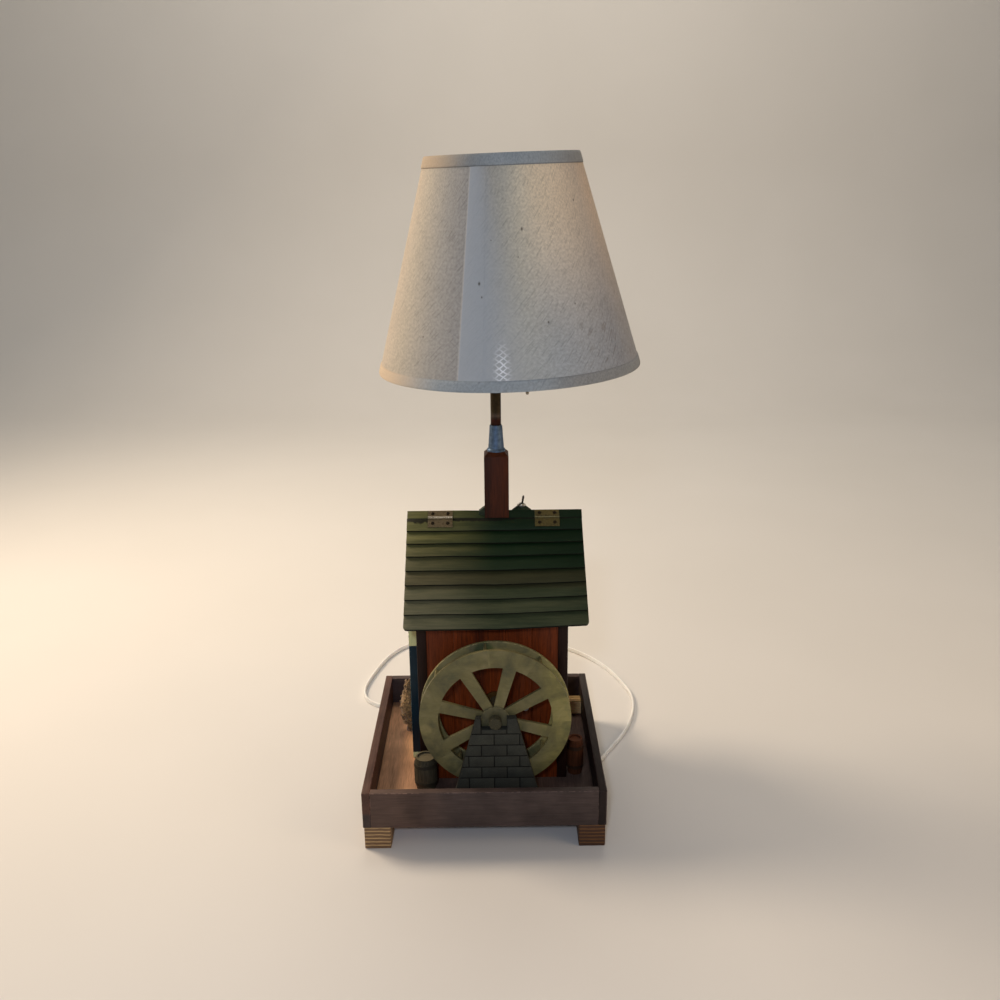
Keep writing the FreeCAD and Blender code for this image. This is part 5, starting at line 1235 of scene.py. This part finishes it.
# ---------------------------------------------------------------- lamp holder
class MILLLAMP_OT_holder(bpy.types.Operator):
    """Harp, socket, bulb, pull chain and finial"""
    bl_idname = "mill_lamp.holder"
    bl_label = "Lamp holder"

    def execute(self, context):
        dress(metal("lacquered_brass", "#b08d4a", 0.28, "#7d6236", 150.0),
              "harp", "finial", "harp_saddle", "pipe_nut", "socket_cap", "socket_shell")
        dress(moulded("black_phenolic", "#1c1a18", 0.35), "socket_body")
        dress(metal("plated_chain", "#a8a396", 0.3), "pull_chain")
        dress(metal("bulb_cap_aluminium", "#b8b8b4", 0.35), "bulb_base")
        dress(moulded("frosted_bulb_glass", "#e9e6df", 0.3, 0.3), "bulb_glass")
        return {"FINISHED"}


# ---------------------------------------------------------------- wheel
class MILLLAMP_OT_wheel(bpy.types.Operator):
    """Painted water wheel, its paddles, hub and axle"""
    bl_idname = "mill_lamp.wheel"
    bl_label = "Water wheel"

    def execute(self, context):
        khaki = wheel_paint("khaki_wheel_paint", 1.0, FRONT_PATCHES)
        # painted light: the far rim takes the same khaki made 1.4 times lighter, against the shade the
        # front rim casts on it
        far = wheel_paint("khaki_far_rim_lightened", 1.4, FAR_PATCHES)
        for node, name, paint in (("wheel_front", "wheel_front_rim", khaki),
                                  ("wheel_rear_rim", "wheel_back_rim", far)):
            rim = Piece(node)
            split_rim(rim)
            rim.soften(sizes().wheel_round, sharper=35)
            rim.done(name, "wheel", paint, "wheel_wood", (node,))
        softened("wheel_paddles", "wheel_boards", "wheel", khaki, "wheel_wood", 0.4 * MM)
        dowel = sawn_wood("painted_dowel", "#484534", 1, 1.5, 0.6, 1.2, 0.7)
        for part, paint in (("hub_disc", khaki), ("axle", dowel)):
            softened("wheel_" + part, "painted_" + part, "wheel", paint, "wheel_wood", 0.3 * MM,
                     sharper=50)
        dress(metal("turned_steel", "#8f9094", 0.3), "wheel_drive", "motor_fixings")
        dress(metal("sintered_bronze", "#8a6a3e", 0.45), "wall_bush")
        dress(metal("zinc_plated_can", "#9b9ca0", 0.35), "gear_motor")
        return {"FINISHED"}


def split_rim(rim):
    """Cut the rim at its joints and number the segments, so that each takes the paint its way."""
    bm = rim.mesh
    centre = Vector((WHEEL_X, 0, WHEEL_Z))
    for angle in map(math.radians, RIM_JOINTS):
        along = Vector((math.cos(angle), 0, math.sin(angle)))
        normal = Vector((-math.sin(angle), 0, math.cos(angle)))
        near = [f for f in bm.faces if (f.calc_center_median() - centre).dot(along) > HUB_CLEAR]
        geom = [*{v for f in near for v in f.verts}, *{e for f in near for e in f.edges}, *near]
        bmesh.ops.bisect_plane(bm, geom=geom, dist=1e-6, plane_co=centre, plane_no=normal)
    joints = sorted(a % 360 for a in RIM_JOINTS)
    for face in bm.faces:
        out = face.calc_center_median() - centre
        out.y = 0
        if out.length > RIM_INSIDE:
            turn = math.degrees(math.atan2(out.z, out.x)) % 360
            face[rim.number] = 3 + sum(turn > j for j in joints) % len(joints)


# ---------------------------------------------------------------- pier, goods and small parts
class MILLLAMP_OT_pier(bpy.types.Operator):
    """Brick pier in front of the wheel"""
    bl_idname = "mill_lamp.pier"
    bl_label = "Brick pier"

    def execute(self, context):
        pier = Piece("stone_pier")
        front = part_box("stone_pier")[0].y
        for face in pier.mesh.faces:
            at = face.calc_center_median().y
            if face.normal.y < -0.9:
                pier.parts += 1
                face[pier.number] = pier.parts
                face.material_index = 0 if at < front + 0.1 * MM else 1
            elif at < front + JOINT_DEEP:
                face.material_index = 1
        pier.soften(sizes().brick_round, sharper=40)
        pier.done("brick_pier", "mill", [brick_paint(), joint_paint()], "pier_stone",
                  ("stone_pier",))
        return {"FINISHED"}


class MILLLAMP_OT_goods(bpy.types.Operator):
    """Barrels, moss tree and crate that stand on the tray"""
    bl_idname = "mill_lamp.goods"
    bl_label = "Goods"

    def execute(self, context):
        for side, tint, hoop, head in (("left", "#4e4838", "#3a3528", "#756b52"),
                                       ("right", "#532d18", "#38200f", "#6b4028")):
            node, name = "barrel_" + side, side + "_cask"
            barrel(node, sizes().staves).done(
                name, "mill", [sawn_wood(name + "_staves", tint, 2, 1.6, 0.6, 1.5, 0.6, 0.7),
                               metal(name + "_hoops", hoop, 0.6, metallic=0.3),
                               sawn_wood(name + "_head", head, 0, 1.4, 0.7)],
                "wheel_wood", (node,))
        moss = moss_tree(sizes().moss_clumps)
        moss.done("moss_tuft", "mill", dried_moss(), "moss", ("moss_tree",), smooth=180)
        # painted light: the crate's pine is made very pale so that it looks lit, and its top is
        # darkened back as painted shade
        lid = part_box("crate")[1].z / MM
        slatted_crate().done("slatted_crate", "mill",
                             sawn_wood("crate_pine", "#fbd296", 0, 2.0, 0.6,
                                       sides=(("Z", lid - 1.1, lid - 0.9, (0.4, 0.36, 0.3)),)),
                             "wheel_wood", ("crate",))
        return {"FINISHED"}


def barrel(node, staves):
    """Cask with bellied staves, sunk head and two proud hoops, in the CAD barrel's place."""
    low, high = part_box(node)
    tall, belly = high.z - low.z, (high.x - low.x) / 2
    base = Vector(((low.x + high.x) / 2, (low.y + high.y) / 2, low.z))
    end = belly * 0.84

    def radius(height):
        return belly - (belly - end) * (2 * height / tall - 1) ** 2

    cask = Piece()
    rise = [tall * k / 12 for k in range(13)]
    outline = [(0, 0), (end - STAVE_INSET, 0)] + [(radius(h) - STAVE_INSET, h) for h in rise]
    outline += [(end - STAVE_T, tall), (end - STAVE_T, tall - HEAD_SUNK), (0, tall - HEAD_SUNK)]
    cask.turned(outline, base, staves * 6)
    for vert in cask.mesh.verts:
        out = vert.co - base
        height = out.z
        out.z = 0
        if out.length > end * 0.9 and 1 * MM < height < tall - 0.5 * MM:
            turn = math.atan2(out.y, out.x) / math.tau * staves
            joint = abs(turn - round(turn))
            vert.co -= out.normalized() * (STAVE_GROOVE * max(0.0, 1 - joint * 5))
    for face in cask.mesh.faces:
        if face.normal.z > 0.9:
            face.material_index = 2
    for share in (0.22, 0.78):
        h0, h1 = tall * (share - 0.045), tall * (share + 0.045)
        inner, outer = -0.7 * MM, 0.1 * MM
        before = set(cask.mesh.faces)
        cask.turned([(radius(h) + out, h) for h, out in (
            (h0, inner), (h0, outer), (h1, outer), (h1, inner), (h0, inner))], base, 48)
        for face in cask.mesh.faces:
            if face not in before:
                face.material_index = 1
    return cask


def moss_tree(clumps):
    """Tuft of dried moss on a twig: a lumpy core under many small curled clumps."""
    low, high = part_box("moss_tree")
    middle = Vector(((low.x + high.x) / 2, (low.y + high.y) / 2, 0))
    wide, foot, top = (high.x - low.x) / 2, low.z + TWIG_H, high.z
    chance = random.Random(7)

    def width(share):
        return wide * (0.62 + 0.38 * math.sin(math.pi * min(1, share * 1.25))) \
            * math.sqrt(max(0.0, 1 - share ** 3.2))

    tree = Piece()
    tree.turned([(0, 0), (4 * MM, 0), (3.2 * MM, TWIG_H), (0, TWIG_H + 1 * MM)],
                Vector((middle.x, middle.y, low.z)), 14)
    for vert in bmesh.ops.create_icosphere(tree.mesh, subdivisions=4, radius=1.0)["verts"]:
        share = (vert.co.z + 1) / 2
        reach = width(share) * 0.86 * (1 + 0.16 * noise.noise(vert.co * 3.1))
        flat = Vector((vert.co.x, vert.co.y, 0))
        flat = flat.normalized() if flat.length > 1e-6 else flat
        ring = math.sqrt(max(0.0, 1 - (2 * share - 1) ** 2)) ** 0.45
        vert.co = middle + flat * reach * min(1, ring) + UP * (foot + (top - foot) * share * 0.96)
    tree.close_part()
    for _ in range(clumps):
        share, turn = chance.uniform(0.02, 0.97), chance.uniform(0, math.tau)
        reach = width(share) * chance.uniform(0.8, 0.9)
        tuft = chance.uniform(1.0, 2.1) * MM
        at = middle + Vector((math.cos(turn) * reach, math.sin(turn) * reach,
                              foot + (top - foot) * share))
        at.z = min(at.z, top - tuft)
        spin = Matrix.Rotation(chance.uniform(0, math.tau), 4, Vector(
            (chance.uniform(-1, 1), chance.uniform(-1, 1), 1)))
        squeeze = Matrix.Diagonal((tuft, tuft * chance.uniform(0.5, 0.9), tuft * 0.6, 1))
        bmesh.ops.create_icosphere(tree.mesh, subdivisions=1, radius=1.0,
                                   matrix=Matrix.Translation(at) @ spin @ squeeze)
        tree.close_part()
    return tree


def slatted_crate():
    """Small crate: a core, side slats with gaps and a boarded lid."""
    low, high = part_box("crate")
    inset = 0.9 * MM
    tall, deep = high.z - low.z, high.y - low.y
    crate = Piece()
    crate.block(low + Vector((inset, inset, 0)), high - Vector((inset, inset, inset)), 0.2 * MM)
    for k in range(4):
        z = low.z + tall * (0.03 + 0.245 * k)
        for x0, y0, x1, y1 in (
                (low.x, low.y, high.x, low.y + inset), (low.x, high.y - inset, high.x, high.y),
                (low.x, low.y + inset, low.x + inset, high.y - inset),
                (high.x - inset, low.y + inset, high.x, high.y - inset)):
            crate.block((x0, y0, z), (x1, y1, z + tall * 0.2), 0.25 * MM)
    for k in range(3):
        y = low.y + deep * (0.02 + 0.33 * k)
        crate.block((low.x, y, high.z - inset), (high.x, y + deep * 0.3, high.z), 0.25 * MM)
    return crate


class MILLLAMP_OT_switch(bpy.types.Operator):
    """Toggle switch on the ridge and the wiring inside"""
    bl_idname = "mill_lamp.switch"
    bl_label = "Switch and wiring"

    def execute(self, context):
        dress(metal("nickel_switch", "#c9c6bd", 0.2), "toggle_switch")
        dress(metal("nickel_lever", "#4c4a45", 0.35), "toggle_lever")
        dress(moulded("black_wire_pvc", "#2a2826", 0.45), "house_wiring")
        return {"FINISHED"}


class MILLLAMP_PT_panel(bpy.types.Panel):
    """Sizes, colours and the making of each piece"""
    bl_idname = "MILLLAMP_PT_panel"
    bl_label = "Mill lamp"
    bl_space_type = "VIEW_3D"
    bl_region_type = "UI"
    bl_category = "Mill lamp"

    def draw(self, context):
        for group in (sizes(), hues()):
            box = self.layout.box()
            for name in group.__annotations__:
                box.prop(group, name)
        for operator in OPERATORS:
            self.layout.operator(operator.bl_idname)


OPERATORS = (MILLLAMP_OT_stage, MILLLAMP_OT_cord, MILLLAMP_OT_tray, MILLLAMP_OT_house,
             MILLLAMP_OT_roof, MILLLAMP_OT_post, MILLLAMP_OT_shade, MILLLAMP_OT_holder,
             MILLLAMP_OT_wheel, MILLLAMP_OT_pier, MILLLAMP_OT_goods, MILLLAMP_OT_switch)
CLASSES = (MillLampSizes, MillLampHues, *OPERATORS, MILLLAMP_PT_panel)


def register():
    for one in CLASSES:
        bpy.utils.register_class(one)
    bpy.types.Scene.mill_lamp_sizes = PointerProperty(type=MillLampSizes)
    bpy.types.Scene.mill_lamp_hues = PointerProperty(type=MillLampHues)


def unregister():
    del bpy.types.Scene.mill_lamp_hues
    del bpy.types.Scene.mill_lamp_sizes
    for one in reversed(CLASSES):
        bpy.utils.unregister_class(one)


def main():
    """Register the add-on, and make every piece."""
    for stray in [o for o in bpy.context.scene.objects if o.name in ("Cube", "Light", "Camera")]:
        bpy.data.objects.remove(stray)
    register()
    for operator in OPERATORS:
        group, name = operator.bl_idname.split(".")
        getattr(getattr(bpy.ops, group), name)()


if __name__ == "__main__":
    main()
